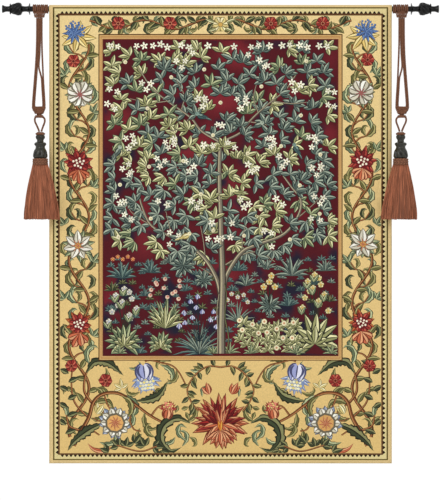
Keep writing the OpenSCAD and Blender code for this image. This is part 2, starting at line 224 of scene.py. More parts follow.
class Finish:
    """One material: a Principled BSDF whose colour and bump come from the nodes given to it."""

    def __init__(self, name, rough, **plain):
        self.material = bpy.data.materials.new(name)
        self.material.use_nodes = True
        self.tree = self.material.node_tree
        self.nodes = self.tree.nodes
        self.shader = self.nodes["Principled BSDF"]
        self.shader.inputs["Roughness"].default_value = rough
        for key, value in plain.items():
            self.shader.inputs[key.replace("_", " ")].default_value = value
        self.place = put(self.nodes, "ShaderNodeTexCoord", -1200).outputs["Object"]

    def stretched(self, x, y, z):
        node = put(self.nodes, "ShaderNodeMapping", -1000)
        node.inputs["Scale"].default_value = (x, y, z)
        join(self.tree, self.place, node.inputs["Vector"])
        return node.outputs[0]

    def use(self, tree, vector, **values):
        node = put(self.nodes, "ShaderNodeGroup", -500, node_tree=tree)
        join(self.tree, vector, node.inputs["Vector"])
        for key, value in values.items():
            node.inputs[key.replace("_", " ")].default_value = value
        return node

    def times(self, base, tone):
        """The base colour, lightened or darkened by a tone that changes over the surface."""
        node = put(self.nodes, "ShaderNodeVectorMath", -200, operation="SCALE")
        join(self.tree, base, node.inputs[0])
        join(self.tree, tone, node.inputs["Scale"])
        return node.outputs[0]

    def attribute(self, name, output="Fac"):
        node = put(self.nodes, "ShaderNodeAttribute", -900, attribute_name=name)
        return node.outputs[output]

    def done(self, base, height=None, depth=0.0002, strength=0.5):
        """Join the base colour and, where there is a height, its bump: the finished material."""
        join(self.tree, base, self.shader.inputs["Base Color"])
        if height is not None:
            bump = put(self.nodes, "ShaderNodeBump", 100)
            bump.inputs["Distance"].default_value = depth
            bump.inputs["Strength"].default_value = strength
            join(self.tree, height, bump.inputs["Height"])
            join(self.tree, bump.outputs[0], self.shader.inputs["Normal"])
        return self.material


def tone(rgb, gain=1.0):
    """A display colour, made lighter or darker by the gain, as a shader's colour."""
    return (*[min(1.0, c * gain) for c in linear(rgb)], 1)


def finishes():
    """Every finish of the hanging, made once."""
    if "Hanging Weave" in bpy.data.materials:
        return {m.name.removeprefix("Hanging "): m for m in bpy.data.materials
                if m.name.startswith("Hanging ")}
    c, s = colours(), sizes()
    mottle, ribs = mottle_group(), rib_group()
    rib = 1 / (s.rib_pitch * MM)

    f = Finish("Hanging Weave", 0.92, Sheen_Weight=0.08, Sheen_Roughness=0.6, Specular_IOR_Level=0.15)
    woven = f.use(ribs, f.place, Rib=rib, Warp=rib * 0.62, Fleck=0.1)
    # the dyes are multiplied by the ribs' tone: painted shade in the rib valleys
    f.done(f.times(f.attribute("dye", "Color"), woven.outputs["Tone"]), woven.outputs["Height"], 0.00035, 0.6)

    for name, tones, fleck in (("Lining", (tone(c.lining), tone(c.lining, 0.86)), 0.03),
                               ("Reverse", (tone((0.62, 0.5, 0.33)), tone((0.5, 0.33, 0.24))), 0.14)):
        f = Finish("Hanging " + name, 0.9, Specular_IOR_Level=0.2)
        plain = f.use(mottle, f.place, Tone_A=tones[0], Tone_B=tones[1], Scale=25.0, Grain=700.0)
        woven = f.use(ribs, f.place, Rib=rib * 1.6, Warp=rib * 1.6, Fleck=fleck)
        # painted shade in the rib valleys, from the ribs' tone
        f.done(f.times(plain.outputs["Color"], woven.outputs["Tone"]), woven.outputs["Height"], 0.0002, 0.5)

    f = Finish("Hanging Iron", 0.26, Specular_IOR_Level=0.22, Coat_Weight=0.12, Coat_Roughness=0.1)
    worn = f.use(mottle, f.place, Tone_A=tone(c.iron), Tone_B=tone(c.iron, 1.8), Scale=160.0, Grain=1500.0)
    f.done(worn.outputs["Color"], worn.outputs["Height"], 0.00008, 0.5)

    for name, rgb, spread in (("Cord", c.cord, 0.62), ("Thread", (0.86, 0.8, 0.66), 0.8)):
        f = Finish("Hanging " + name, 0.78, Specular_IOR_Level=0.15)
        spun = f.use(mottle, f.place, Tone_A=tone(rgb, 1.25), Tone_B=tone(rgb, spread),
                     Scale=500.0, Grain=1800.0)
        # the colour is multiplied by each point's painted shade, darker in the valleys between plies and
        # braid strands; the stitches' is even
        f.done(f.times(spun.outputs["Color"], f.attribute("crease")), spun.outputs["Height"], 0.00015, 0.6)

    f = Finish("Hanging Fringe", 0.62, Specular_IOR_Level=0.25)
    spun = f.use(mottle, f.stretched(1, 1, 0.12), Tone_A=tone(c.rust, 1.25), Tone_B=tone(c.rust, 0.62),
                 Scale=260.0, Grain=1500.0)
    # the colour is multiplied by the shade attribute: a random tone for each strand, and painted shade on the
    # skirt's inner fill
    f.done(f.times(spun.outputs["Color"], f.attribute("shade")), spun.outputs["Height"], 0.0002, 0.6)

    f = Finish("Hanging Carved", 0.3, Specular_IOR_Level=0.35, Coat_Weight=0.25, Coat_Roughness=0.1)
    grain = f.use(mottle, f.stretched(1, 1, 0.25), Tone_A=tone(c.carved), Tone_B=tone(c.carved, 1.9),
                  Scale=220.0, Grain=1400.0)
    # the colour is multiplied by the head's painted shade, darker in its carved grooves
    f.done(f.times(grain.outputs["Color"], f.attribute("crease")), grain.outputs["Height"], 0.00012, 0.5)

    f = Finish("Hanging Core", 0.6)
    grain = f.use(mottle, f.stretched(1, 1, 0.1), Tone_A=tone((0.69, 0.54, 0.35)),
                  Tone_B=tone((0.5, 0.36, 0.22)), Scale=300.0, Grain=1500.0)
    f.done(grain.outputs["Color"], grain.outputs["Height"], 0.0001, 0.5)

    f = Finish("Hanging Floor", 0.7)
    pale = f.use(mottle, f.place, Tone_A=(0.93, 0.93, 0.93, 1), Tone_B=(0.9, 0.9, 0.9, 1),
                 Scale=3.0, Grain=40.0)
    f.done(pale.outputs["Color"])
    return finishes()


# ---- Shapes ----
def piece(name, points, faces, finish, body, slot, *nodes, marks=None, near=1e-7):
    """A closed mesh given in millimetres: it rides on its body and stands for its nodes."""
    mesh = bpy.data.meshes.new(name)
    mesh.from_pydata((np.asarray(points, float) * MM).tolist(), [], faces)
    for key, values in (marks or {}).items():
        mesh.attributes.new(key, "FLOAT", "POINT").data.foreach_set("value", np.asarray(values, np.float32))
    tidy = bmesh.new()
    tidy.from_mesh(mesh)
    bmesh.ops.remove_doubles(tidy, verts=tidy.verts, dist=near)
    bmesh.ops.recalc_face_normals(tidy, faces=tidy.faces)
    tidy.to_mesh(mesh)
    tidy.free()
    mesh.shade_smooth()
    return own(bpy.data.objects.new(name, mesh), finish, body, slot, *nodes)


def own(thing, finish, body, slot, *nodes):
    """Give a piece its finish and its body, and put it in place of its nodes; its slot is not used."""
    if thing.name not in bpy.context.scene.collection.objects:
        bpy.context.scene.collection.objects.link(thing)
    thing.data.materials.clear()
    thing.data.materials.append(finishes()[finish])
    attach(thing, body)
    if nodes:
        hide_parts(*nodes)
    return thing


def evenly(route, step, closed=False):
    """Points a step apart on the smooth curve through the route."""
    p = np.asarray(route, float)
    ring = np.vstack([p[-1:], p, p[:2]]) if closed else np.vstack([2 * p[0] - p[1], p, 2 * p[-1] - p[-2]])
    t = np.linspace(0, 1, 12, endpoint=False)[:, None]
    made = [0.5 * (2 * b + (c - a) * t + (2 * a - 5 * b + 4 * c - d) * t ** 2
                   + (3 * b - a - 3 * c + d) * t ** 3)
            for a, b, c, d in zip(ring, ring[1:], ring[2:], ring[3:])]
    dense = np.vstack(made + [ring[-2:-1]])
    far = np.concatenate([[0], np.cumsum(np.linalg.norm(np.diff(dense, axis=0), axis=1))])
    count = max(2, int(round(far[-1] / step)) + 1)
    at = np.linspace(0, far[-1], count)
    return np.stack([np.interp(at, far, dense[:, k]) for k in range(p.shape[1])], 1)


def frames(path):
    """Two directions across the path at each point, carried along it without twisting."""
    along = np.gradient(path, axis=0)
    along /= np.linalg.norm(along, axis=1)[:, None]
    first = np.cross(along[0], [0.3, 0.9, 0.1])
    across = [first / np.linalg.norm(first)]
    for a in along[1:]:
        v = across[-1] - a * np.dot(across[-1], a)
        across.append(v / np.linalg.norm(v))
    across = np.array(across)
    return across, np.cross(along, across)


def quads(rings, sides, closed=False):
    """Faces between rings of points, each ring with the same number of sides."""
    last = rings if closed else rings - 1
    return [(i * sides + k, i * sides + (k + 1) % sides, (i + 1) % rings * sides + (k + 1) % sides,
             (i + 1) % rings * sides + k) for i in range(last) for k in range(sides)]


def plied(route, thick, pitch, closed=False, step=0.9, plies=3, sides=12):
    """Points, faces and painted shade of a cord of twisted plies along a route: the shade darkens the valleys
    between plies.
    """
    path = evenly(route, step, closed)
    if closed:
        path = path[:-1]
    across, up = frames(np.vstack([path, path[:1]]) if closed else path)
    across, up = across[:len(path)], up[:len(path)]
    far = np.arange(len(path)) * step
    turns = round(far[-1] / pitch * plies) / plies if closed else far[-1] / pitch
    angle = 2 * np.pi * (np.arange(sides)[None] / sides + np.linspace(0, turns, len(path))[:, None])
    lobe = np.abs(np.cos(plies / 2 * 2 * np.pi * np.arange(sides) / sides))
    radius = thick / 2 * (0.8 + 0.2 * lobe)
    points = (path[:, None] + radius[None, :, None] * (np.cos(angle)[..., None] * across[:, None]
                                                       + np.sin(angle)[..., None] * up[:, None]))
    faces = quads(len(path), sides, closed)
    # painted shade: darker in the valleys between the plies, 1 on their crowns
    crease = np.tile(0.6 + 0.4 * lobe, len(path))
    points = points.reshape(-1, 3)
    if not closed:
        count = len(points)
        points = np.vstack([points, path[:1], path[-1:]])
        crease = np.concatenate([crease, [1, 1]])
        faces += [(count, (k + 1) % sides, k) for k in range(sides)]
        faces += [(count + 1, count - sides + k, count - sides + (k + 1) % sides) for k in range(sides)]
    return points, faces, crease


def merged(parts):
    """Several (points, faces, painted shade) as one."""
    points, faces, crease, base = [], [], [], 0
    for p, f, c in parts:
        points.append(p)
        crease.append(c)
        faces += [tuple(base + i for i in face) for face in f]
        base += len(p)
    return np.vstack(points), faces, np.concatenate(crease)


def turned(profile, around=64, swell=None):
    """A solid of revolution about Z from (radius, height) points, carved by swell(angle, height, radius),
    which also gives each point its painted shade.
    """
    profile = np.asarray(profile, float)
    angle = 2 * np.pi * np.arange(around) / around
    rings, crease_shades = [], []
    for radius, height in profile:
        r, crease = swell(angle, height, radius) if swell else (np.full(around, radius), np.ones(around))
        rings.append(np.stack([r * np.cos(angle), r * np.sin(angle), np.full(around, height)], 1))
        crease_shades.append(crease)
    points = np.vstack(rings + [[[0, 0, profile[0, 1]]], [[0, 0, profile[-1, 1]]]])
    count = around * len(profile)
    faces = quads(len(profile), around)
    faces += [(count, (k + 1) % around, k) for k in range(around)]
    faces += [(count + 1, count - around + k, count - around + (k + 1) % around) for k in range(around)]
    return points, faces, np.concatenate(crease_shades + [[1, 1]])


# ---- The cartoon: shapes laid one over another, each of one dye ----
FORMS = {"pointed": (0.06, 0.68, 1.0, 0.86, 0.48, 0.0), "petal": (0.2, 0.5, 0.8, 1.0, 0.9, 0.15),
         "blade": (0.5, 0.85, 1.0, 0.85, 0.5, 0.0), "cup": (0.6, 0.95, 1.0, 0.9, 0.6, 0.0)}
SEA = ((26, 32, 34), (164, 176, 156), (94, 110, 100))
MOSS = ((46, 48, 34), (230, 226, 172), (154, 154, 104))
OLIVE = ((58, 50, 28), (172, 164, 106), (108, 106, 60))
DEEP = ((34, 34, 22), (140, 140, 94), (62, 70, 46))
FERN = ((36, 44, 34), (190, 196, 148), (112, 126, 92))
TEAL = ((28, 42, 46), (126, 150, 138), (68, 92, 90))
BARK = ((62, 54, 46), (186, 174, 140), (122, 114, 98))
WOOD = ((70, 36, 20), (190, 134, 84), (118, 66, 34))
RED = ((88, 26, 24), (198, 94, 74), (154, 48, 42))
FLAME = ((114, 46, 30), (234, 170, 124), (198, 106, 72))
WHITE = ((112, 104, 84), (250, 246, 232), (214, 208, 186))
IVORY = ((128, 112, 60), (250, 238, 190), (226, 206, 136))
LILAC = ((76, 78, 112), (230, 230, 244), (162, 168, 212))
BLUE = ((44, 58, 92), (124, 156, 204), (80, 112, 170))
HAZE = ((72, 84, 116), (206, 214, 228), (134, 152, 192))
SLATE = ((84, 92, 110), (196, 204, 216), (140, 152, 172))
YOLK = ((120, 96, 40), (246, 226, 160), (226, 196, 118))


class Cartoon:
    """The drawing that the loom follows, in millimetres across and down the cloth"""

    def __init__(self, seed):
        self.rng = random.Random(seed)
        self.shapes, self.dyes = [], []
        self.flip, self.window, self.field = 1, None, 0

    def lay(self, points, dye, vary=0.05):
        p = np.array(points, float)
        p[:, 0] *= self.flip
        if self.window:
            half, top, low = self.window
            p = np.clip(p, (-half, low), (half, top))
        gain = 1 + self.rng.uniform(-vary, vary)
        self.shapes.append(p)
        self.dyes.append([min(255, v * gain) for v in dye])

    def frond(self, spine, wide, dyes, form="pointed", lobes=0):
        """A leaf or petal along its spine: an edge, then a light and a shaded half beside the rib."""
        p = np.asarray(spine, float)
        s = np.linspace(0, 1, len(p))
        along = np.gradient(p, axis=0)
        along /= np.linalg.norm(along, axis=1)[:, None] + 1e-9
        across = np.stack([-along[:, 1], along[:, 0]], 1)
        half = wide / 2 * np.interp(s, np.linspace(0, 1, 6), FORMS[form])
        notch = 1 - 0.42 * ((s * lobes) % 1) if lobes else 1
        side = across * (half * notch)[:, None]
        self.lay(np.vstack([p + side, (p - side)[-2::-1] if form != "blade" else (p - side)[::-1]]), dyes[0])
        inner = across * (half * (0.7 * notch if lobes else 0.66))[:, None]
        rib = across * (half * 0.1)[:, None]
        cut = slice(0, len(p) - 1)
        tip = p[-2:-1] * 0.3 + p[-1:] * 0.7
        light = 1 if self.flip * (across[len(p) // 2][0] * 0.4 + across[len(p) // 2][1]) > 0 else 2
        self.lay(np.vstack([(p + rib)[cut], tip, (p + inner)[cut][::-1]]), dyes[light])
        self.lay(np.vstack([(p - rib)[cut], tip, (p - inner)[cut][::-1]]), dyes[3 - light])

    def leaf(self, x, z, turn, long, wide, dyes, bend=0.0, form="pointed", steps=6):
        """A leaf from its foot along turn, in degrees, that bends to one side."""
        a = math.radians(turn)
        s = np.linspace(0, 1, steps)
        forward, sideways = s * long * (1 - 0.25 * abs(bend) * s), bend * long * s * s
        self.frond(np.stack([x + forward * math.cos(a) + sideways * math.sin(a),
                             z + forward * math.sin(a) - sideways * math.cos(a)], 1), wide, dyes, form)

    def whorl(self, x, z, long, count, turn, spread, wide, dyes, bend=0.0, form="pointed", vary=0.12):
        """Leaves or petals fanned about one direction, the outer ones under the inner."""
        shares = [0.0] if count < 2 else [2 * k / (count - 1) - 1 for k in range(count)]
        for share in sorted(shares, key=lambda v: -abs(v)):
            angle = turn - share * spread
            reach = long * (1 + self.rng.uniform(-vary, vary)) * (1 - 0.12 * abs(share))
            self.leaf(x, z, angle + self.rng.uniform(-60, 60) * vary, reach, wide, dyes, bend * share, form)

    def disc(self, x, z, r, dye, count=9):
        a = np.linspace(0, 2 * math.pi, count, endpoint=False) + 0.3
        self.lay(np.stack([x + r * np.cos(a), z + r * np.sin(a)], 1), dye)

    def star(self, x, z, r, dyes, petals=5):
        """An open blossom: its dark edge, its petals and its heart."""
        sector = 2 * math.pi / petals
        a = self.rng.uniform(0, sector) + np.add.outer(np.arange(petals) * sector, np.array(
            [0, 0.28, 0.5, 0.72]) * sector).ravel()
        for k, grow in ((0, 1.14), (1, 1.0)):
            radius = r * grow * np.tile([0.34, 0.8, 1.0, 0.8], petals)
            self.lay(np.stack([x + radius * np.cos(a), z + radius * np.sin(a)], 1), dyes[k])
        self.disc(x, z, 0.22 * r, dyes[2], count=5)

    def flower(self, x, z, r, petals, wide, dyes, heart, form="petal", heart_r=0.25):
        """Petals all the way round an edged heart, whose radius is a share of the flower's."""
        whole = 180 * (1 - 1 / petals)
        self.whorl(x, z, r, petals, 90, whole, wide, dyes, form=form, vary=0.03)
        self.disc(x, z, r * heart_r * 1.25, dyes[0])
        self.disc(x, z, r * heart_r, heart)

    def stem(self, route, thick, thin, dyes=WOOD, step=5.0):
        """A stalk that thins along its route: a dark edge, its body and a light streak."""
        p = evenly(route, step)
        along = np.gradient(p, axis=0)
        along /= np.linalg.norm(along, axis=1)[:, None]
        across = np.stack([-along[:, 1], along[:, 0]], 1)
        half = np.linspace(thick, thin, len(p))[:, None] / 2
        for low, high, dye in ((-1, 1, dyes[0]), (-0.62, 0.66, dyes[2]), (0.05, 0.5, dyes[1])):
            if dye is not dyes[0] and thick < 1.6:
                continue
            self.lay(np.vstack([p + across * half * low, (p + across * half * high)[::-1]]), dye)
        return p

    def sprigs(self, route, gap, long, wide, dyes, first=1, skip=0.0, slant=48):
        """Leaves that stand off a stalk on alternate sides; skip is the chance that one is left out."""
        p = evenly(route, gap)
        side = first
        for i in range(1, len(p) - 1):
            if self.rng.random() < skip:
                continue
            a = math.degrees(math.atan2(*(p[i + 1] - p[i - 1])[::-1]))
            self.leaf(*p[i], a + side * slant, long * self.rng.uniform(0.85, 1.12), wide, dyes,
                      bend=-0.18 * side)
            side = -side

    def scatter(self, left, right, low, high, gap, keep=lambda x, z: True, tries=2500):
        """Points at least a gap apart, placed by chance."""
        found = []
        for _ in range(tries):
            x, z = self.rng.uniform(left, right), self.rng.uniform(low, high)
            if keep(x, z) and all((x - a) ** 2 + (z - b) ** 2 > gap * gap for a, b in found):
                found.append((x, z))
        return found


# The edge of each woven band, from the cloth's own to the field's: half its width, top, foot and dye
BANDS = (
    (340.0, 23.2, -902.0, (228, 200, 142)), (332.5, 3.3, -895.6, (104, 88, 40)),
    (329.5, 0.3, -893.2, (226, 209, 150)), (322.3, -9.4, -885.0, (96, 62, 34)),
    (319.1, -13.4, -882.0, (238, 211, 150)), (242.3, -49.8, -698.0, (92, 58, 24)),
    (240.1, -52.2, -696.4, (220, 180, 116)), (238.4, -53.8, -694.4, (188, 140, 84)),
    (236.0, -57.0, -691.6, (214, 172, 112)), (234.4, -59.4, -689.4, (118, 66, 34)),
    (233.0, -61.0, -688.0, (82, 17, 26)),
)
# Places in that list: the line that the teeth stand on, and the gold ground of the borders
TOOTH_BAND, GOLD_BAND = 3, 4
# How far apart the teeth stand, up the sides and along the head and foot
TOOTH_HIGH, TOOTH_WIDE = 9.7, 8.6
TOOTH_DYE = (30, 20, 8)


def inside(band, clear=0.6):
    """The box just within a band's edge, that no leaf may cross."""
    return band[0] - clear, band[1] - clear, band[2] + clear


def box_shape(half, top, low):
    return [(-half, top), (half, top), (half, low), (-half, low)]


def teeth(c):
    """A row of dark teeth along each side, pointing outwards."""
    side, top, low = BANDS[TOOTH_BAND][:3]
    count = round((top - low) / TOOTH_HIGH)
    for c.flip in (1, -1):
        for k in range(count):
            z = low + (k + 0.5) * (top - low) / count
            tip = side + 4.5
            c.lay([(side, z - 3.9), (tip, z - 0.8), (tip, z + 0.8), (side, z + 3.9)], TOOTH_DYE)
        for k in range(round(side / TOOTH_WIDE)):
            x = (k + 0.5) * TOOTH_WIDE
            for edge, out in ((top, 1), (low, -1)):
                tip = edge + 4.2 * out
                c.lay([(x - 3.5, edge), (x - 0.8, tip), (x + 0.8, tip), (x + 3.5, edge)], TOOTH_DYE)
    c.flip = 1


# The trunk and its limbs: a route, and how thick it is at its foot and at its tip
LIMBS = (
    ([(2, -684), (2, -640), (3, -590), (4, -545), (3, -500), (1, -450), (0, -400), (-2, -350), (-2, -300),
      (0, -258)], 17, 8),
    ([(1, -572), (-8, -535), (-30, -497), (-60, -471), (-96, -453), (-137, -430), (-155, -394),
      (-162, -368)], 11, 4),
    ([(5, -562), (14, -525), (43, -482), (79, -466), (124, -448), (151, -417), (160, -381), (140, -352),
      (120, -325)], 11, 4),
    ([(0, -265), (-38, -242), (-60, -215), (-105, -183), (-137, -156), (-162, -118)], 6, 3),
    ([(0, -265), (39, -246), (57, -224), (75, -206), (102, -183), (129, -161), (150, -130)], 6, 3),
    ([(10, -508), (48, -486), (80, -484), (108, -502)], 4, 2),
    ([(-4, -540), (-22, -524), (-42, -512)], 4, 2),
    ([(-60, -215), (-80, -236), (-104, -244)], 3, 1.6), ([(-105, -183), (-140, -186), (-180, -178)], 3, 1.6),
    ([(-78, -203), (-72, -172), (-88, -140)], 3, 1.6), ([(75, -206), (66, -176), (74, -140)], 3, 1.6),
    ([(102, -183), (140, -188), (184, -184)], 3, 1.6), ([(57, -224), (90, -230), (112, -244)], 3, 1.6),
    ([(-137, -430), (-175, -405), (-190, -378)], 3, 1.6), ([(151, -417), (180, -392), (200, -372)], 3, 1.6),
    ([(-30, -497), (-34, -460), (-40, -430)], 3, 1.6), ([(43, -482), (44, -450), (52, -425)], 3, 1.6),
    ([(-96, -453), (-104, -420), (-110, -395)], 3, 1.6), ([(124, -448), (112, -420), (116, -395)], 3, 1.6),
)
# Blossom sprays as distance from the tree's middle, height and count; each has a fellow on the other side
SPRAYS = (
    (207, -74, 2), (162, -74, 2), (128, -72, 2), (102, -75, 1), (68, -74, 2), (24, -75, 1), (54, -90, 1),
    (80, -108, 3), (150, -152, 3), (218, -164, 2), (219, -196, 2), (38, -186, 4), (182, -264, 4),
    (99, -266, 4), (188, -320, 4), (124, -302, 3), (60, -312, 3), (24, -272, 2), (6, -232, 1),
    (196, -378, 3), (118, -388, 2), (52, -384, 3), (188, -418, 2), (22, -424, 1), (14, -458, 2),
    (88, -448, 2), (106, -470, 1),
)


def tree(c):
    """The tree of the field: limbs, clusters of leaves and sprays of blossom."""
    s = sizes()

    def leafy(x, z):
        """Whether leaves may grow here: not over the heart of the crown, the trunk or a full spray."""
        clear = ((x - 4) / 34) ** 2 + ((z + 186) / 22) ** 2 > 1
        clear &= abs(x - 1) > 15 or z > -352
        clear &= z > -500 + 0.0009 * (x * x) * (abs(x) > 60)
        return clear and all(((abs(x) - a) / 14) ** 2 + ((z - b) / 11) ** 2 > 1
                             for a, b, count in SPRAYS if count > 3)

    def cluster(x, z):
        away = math.degrees(math.atan2(z + 360, x)) if abs(x) > 25 else 90
        turn = away + c.rng.uniform(-60, 60)
        patch = noise.noise(Vector((x / 48, z / 48, 5.5)))
        dyes = MOSS if patch > 0.1 else FERN if patch > 0.02 else SEA
        a, long = math.radians(turn), s.leaf_long
        c.whorl(x - 6 * math.cos(a), z - 6 * math.sin(a), long, c.rng.choice((4, 5, 6, 6)), turn,
                c.rng.uniform(60, 104), 0.48 * long, dyes, bend=0.12, vary=0.2)

    clusters = sorted(c.scatter(-221, 221, -492, -74, s.leaf_gap, leafy), key=lambda p: -p[1])
    for x, z in clusters[::2]:
        cluster(x, z)
    for route, thick, thin in LIMBS[::-1]:
        c.stem(route, thick, thin, BARK, 7)
    c.stem([(13, -684), (16, -650), (9, -610), (12, -570), (8, -545)], 3.4, 2, DEEP, 7)
    c.stem([(-6, -684), (-5, -640), (-7, -600), (-3, -566)], 3.0, 2, (BARK[0], BARK[1], (150, 140, 112)), 7)
    for x, z in clusters[1::2] + [(-34, -398), (-18, -372), (-44, -372), (-14, -410), (-30, -424)]:
        cluster(x, z)
    for reach, z, count in SPRAYS:
        for flip in (1, -1):
            x = flip * reach + c.rng.uniform(-5, 5)
            for k in range(count):
                a = k * 2.4 + c.rng.uniform(-0.4, 0.4)
                out = (0 if count == 1 else 9.5 + 2.2 * (k > 2)) if z < -80 else 0
                shift = (k - (count - 1) / 2) * 15 if z >= -80 else 0
                px = max(-226, min(226, x + shift + out * math.cos(a)))
                c.star(px, min(-69, z + out * math.sin(a) + c.rng.uniform(-3, 3)),
                       s.blossom * c.rng.uniform(0.82, 1.1), ((60, 52, 40), (246, 242, 218), (150, 146, 84)))
    for x, z in c.scatter(-215, 215, -470, -95, 62, tries=300):
        c.disc(x, z, 4, (236, 226, 190))
        c.disc(x + 0.6, z - 0.6, 2.2, (206, 196, 150))
    for x, z, turn, dyes in ((-72, -452, 20, IVORY), (-36, -214, 160, TEAL), (72, -232, 20, SEA),
                             (36, -364, 170, MOSS), (-205, -286, 60, SEA), (152, -281, 120, TEAL)):
        bird(c, x, z, turn, dyes)


def bird(c, x, z, turn, dyes):
    """A small plump bird seen from its side."""
    a = math.radians(turn)
    c.leaf(x - 6 * math.cos(a), z - 6 * math.sin(a), turn + 180, 15, 5, dyes, form="blade")
    c.leaf(x - 10 * math.cos(a), z - 10 * math.sin(a), turn, 22, 13, dyes, form="petal")
    c.leaf(x + 2 * math.cos(a), z + 2 * math.sin(a) + 1, turn + 190, 14, 6, (dyes[0], dyes[2], dyes[2]))
    c.disc(x + 11 * math.cos(a), z + 11 * math.sin(a) + 2, 4, dyes[1])
    c.disc(x + 12 * math.cos(a), z + 12 * math.sin(a) + 3, 0.9, (20, 16, 12), count=5)


def plant(c, x, z, heads, r, dyes, heart):
    """Flower heads on stalks that rise from one root."""
    for hx, hz in heads:
        c.stem([(x, z), (x + 0.3 * (hx - x), z + 0.5 * (hz - z)), (hx, hz)], 1.5, 1.1, FERN, 9)
    for hx, hz in heads:
        c.flower(hx, hz, r, 5, 0.9 * r, dyes, heart)


def meadow(c):
    """Plants and tufts round the foot of the tree."""
    tufts = [(-195, -535, 30, TEAL), (-139, -524, 24, TEAL), (142, -530, 34, SEA), (-69, -560, 14, TEAL),
             (50, -550, 22, SEA), (135, -590, 20, TEAL), (208, -520, 22, SEA), (-215, -560, 16, DEEP),
             (186, -548, 14, TEAL), (-150, -570, 14, TEAL), (-100, -505, 16, SEA), (34, -520, 18, TEAL),
             (-218, -600, 12, TEAL), (216, -580, 12, DEEP), (-140, -598, 12, TEAL), (24, -560, 12, TEAL),
             (92, -514, 18, SEA), (-8, -600, 10, DEEP), (160, -560, 10, TEAL), (-160, -684, 16, TEAL)]
    for x, z in c.scatter(-222, 222, -664, -496, 17, lambda x, z: abs(x - 2) > 12, 1500):
        c.whorl(x, z, c.rng.uniform(9, 14), 5, 90, 66, 4.6, c.rng.choice((TEAL, DEEP, TEAL, SEA)), 0.3)
    for x, z, high, dyes in tufts:
        c.whorl(x, z, 1.25 * high, 9, 90, 62, 0.18 * high + 2.2, dyes, 0.35)
    for x, z, r, count in ((-74, -508, 30, 13), (-33, -536, 23, 11), (97, -588, 26, 12), (-52, -492, 20, 8)):
        c.whorl(x, z, r, count, 90, 168, 0.4 * r, SEA)
    for k in range(5):
        c.flower(-214 + 10 * k, -497 + 5 * (k % 2), 5, 5, 5, FLAME, (232, 180, 60))
    # spike plants, bells and ring flowers
    for x, z, span, rise, count, dyes, heart in (
            (-191, -684, 36, 128, 11, WHITE, (190, 196, 208)),
            (187, -680, 30, 152, 12, IVORY, (222, 186, 90))):
        heads = [(x + span * math.sin(2.4 * k) * (0.35 + 0.65 * (k / count)), z + rise - 6.5 * k)
                 for k in range(count)]
        plant(c, x, z + 20, heads, 7, dyes, heart)
        for hx, hz in heads[::2]:
            c.whorl(hx - 2, hz - 14, 20, 2, 90, 30, 8, FERN)
    for x, z, long, count, wide in ((-191, -664, 42, 13, 14), (187, -660, 56, 11, 20),
                                    (-119, -668, 30, 12, 11)):
        c.whorl(x, z, long, count, 90, 112, wide, FERN if x < 0 else MOSS, 0.25)
        c.whorl(x, z - 4, 0.6 * long, 7, 90, 92, 0.8 * wide, MOSS, 0.25)
    c.whorl(-110, -634, 60, 13, 90, 34, 9, FERN, 0.2)
    c.whorl(-110, -634, 44, 9, 90, 58, 9, MOSS, 0.2)
    for k in range(12):
        x, z = -110 + 30 * math.sin(1.9 * k), -536 - 3.6 * k
        c.disc(x, z, 4.2, (228, 196, 170))
        c.disc(x + 1, z + 1, 2, (190, 110, 96))
    c.whorl(-42, -684, 62, 17, 90, 78, 5, TEAL, 0.55, form="blade")
    c.whorl(-42, -684, 56, 9, 90, 40, 5, SEA, 0.3, form="blade")
    for x, z in ((-60, -580), (-72, -602), (-56, -612), (-48, -592), (-36, -600), (-14, -600),
                 (-6, -612), (-20, -616), (-70, -622), (-82, -628), (-8, -630), (-46, -570)):
        c.stem([(-42, -660), (x * 0.6 - 17, z - 18), (x, z)], 1.4, 1.0, TEAL, 9)
        c.whorl(x, z + 4, 11, 3, 270, 24, 6, LILAC, form="petal")
    c.whorl(34, -622, 42, 13, 90, 52, 4.4, SEA, 0.3, form="blade")
    for x, z in ((22, -566), (34, -572), (46, -568), (14, -578), (54, -582)):
        c.flower(x, z, 5.4, 5, 5, WHITE, (214, 190, 90))
    plant(c, 97, -588, [(97, -542), (86, -552), (108, -552), (101, -530)], 7.5, IVORY, (238, 178, 50))
    for x, z in c.scatter(36, 150, -678, -624, 15, tries=500):
        c.whorl(x, z, 19, 6, 90, 100, 8.5, MOSS, 0.2)
    for x, z in c.scatter(34, 152, -676, -616, 17, lambda x, z: z > -650 or x > 110, 300):
        c.disc(x, z, 6, (120, 118, 72))
        c.disc(x, z, 5.2, (240, 230, 190))
        c.disc(x, z, 2.4, (206, 150, 110), count=6)
    for x, long in ((-14, 22), (18, 26), (-200, 18), (60, 20), (150, 24), (220, 22)):
        c.whorl(x, -684, long, 7, 90, 66, 5, FERN, 0.4)


def peony(c, x, z, r, outer, inner, turn=90):
    """A layered bloom round a dotted heart."""
    c.whorl(x, z, r, 9, turn, 160, 0.42 * r, outer, form="pointed", vary=0.1)
    c.whorl(x, z, 0.78 * r, 8, turn + 20, 157, 0.44 * r, inner, form="petal", vary=0.06)
    c.disc(x, z, 0.42 * r, (108, 24, 28), count=12)
    for k in range(10):
        a, far = 2.4 * k, 0.11 * r * math.sqrt(k + 0.5)
        c.disc(x + far * math.cos(a), z + far * math.sin(a), 0.075 * r, (246, 232, 206), count=6)


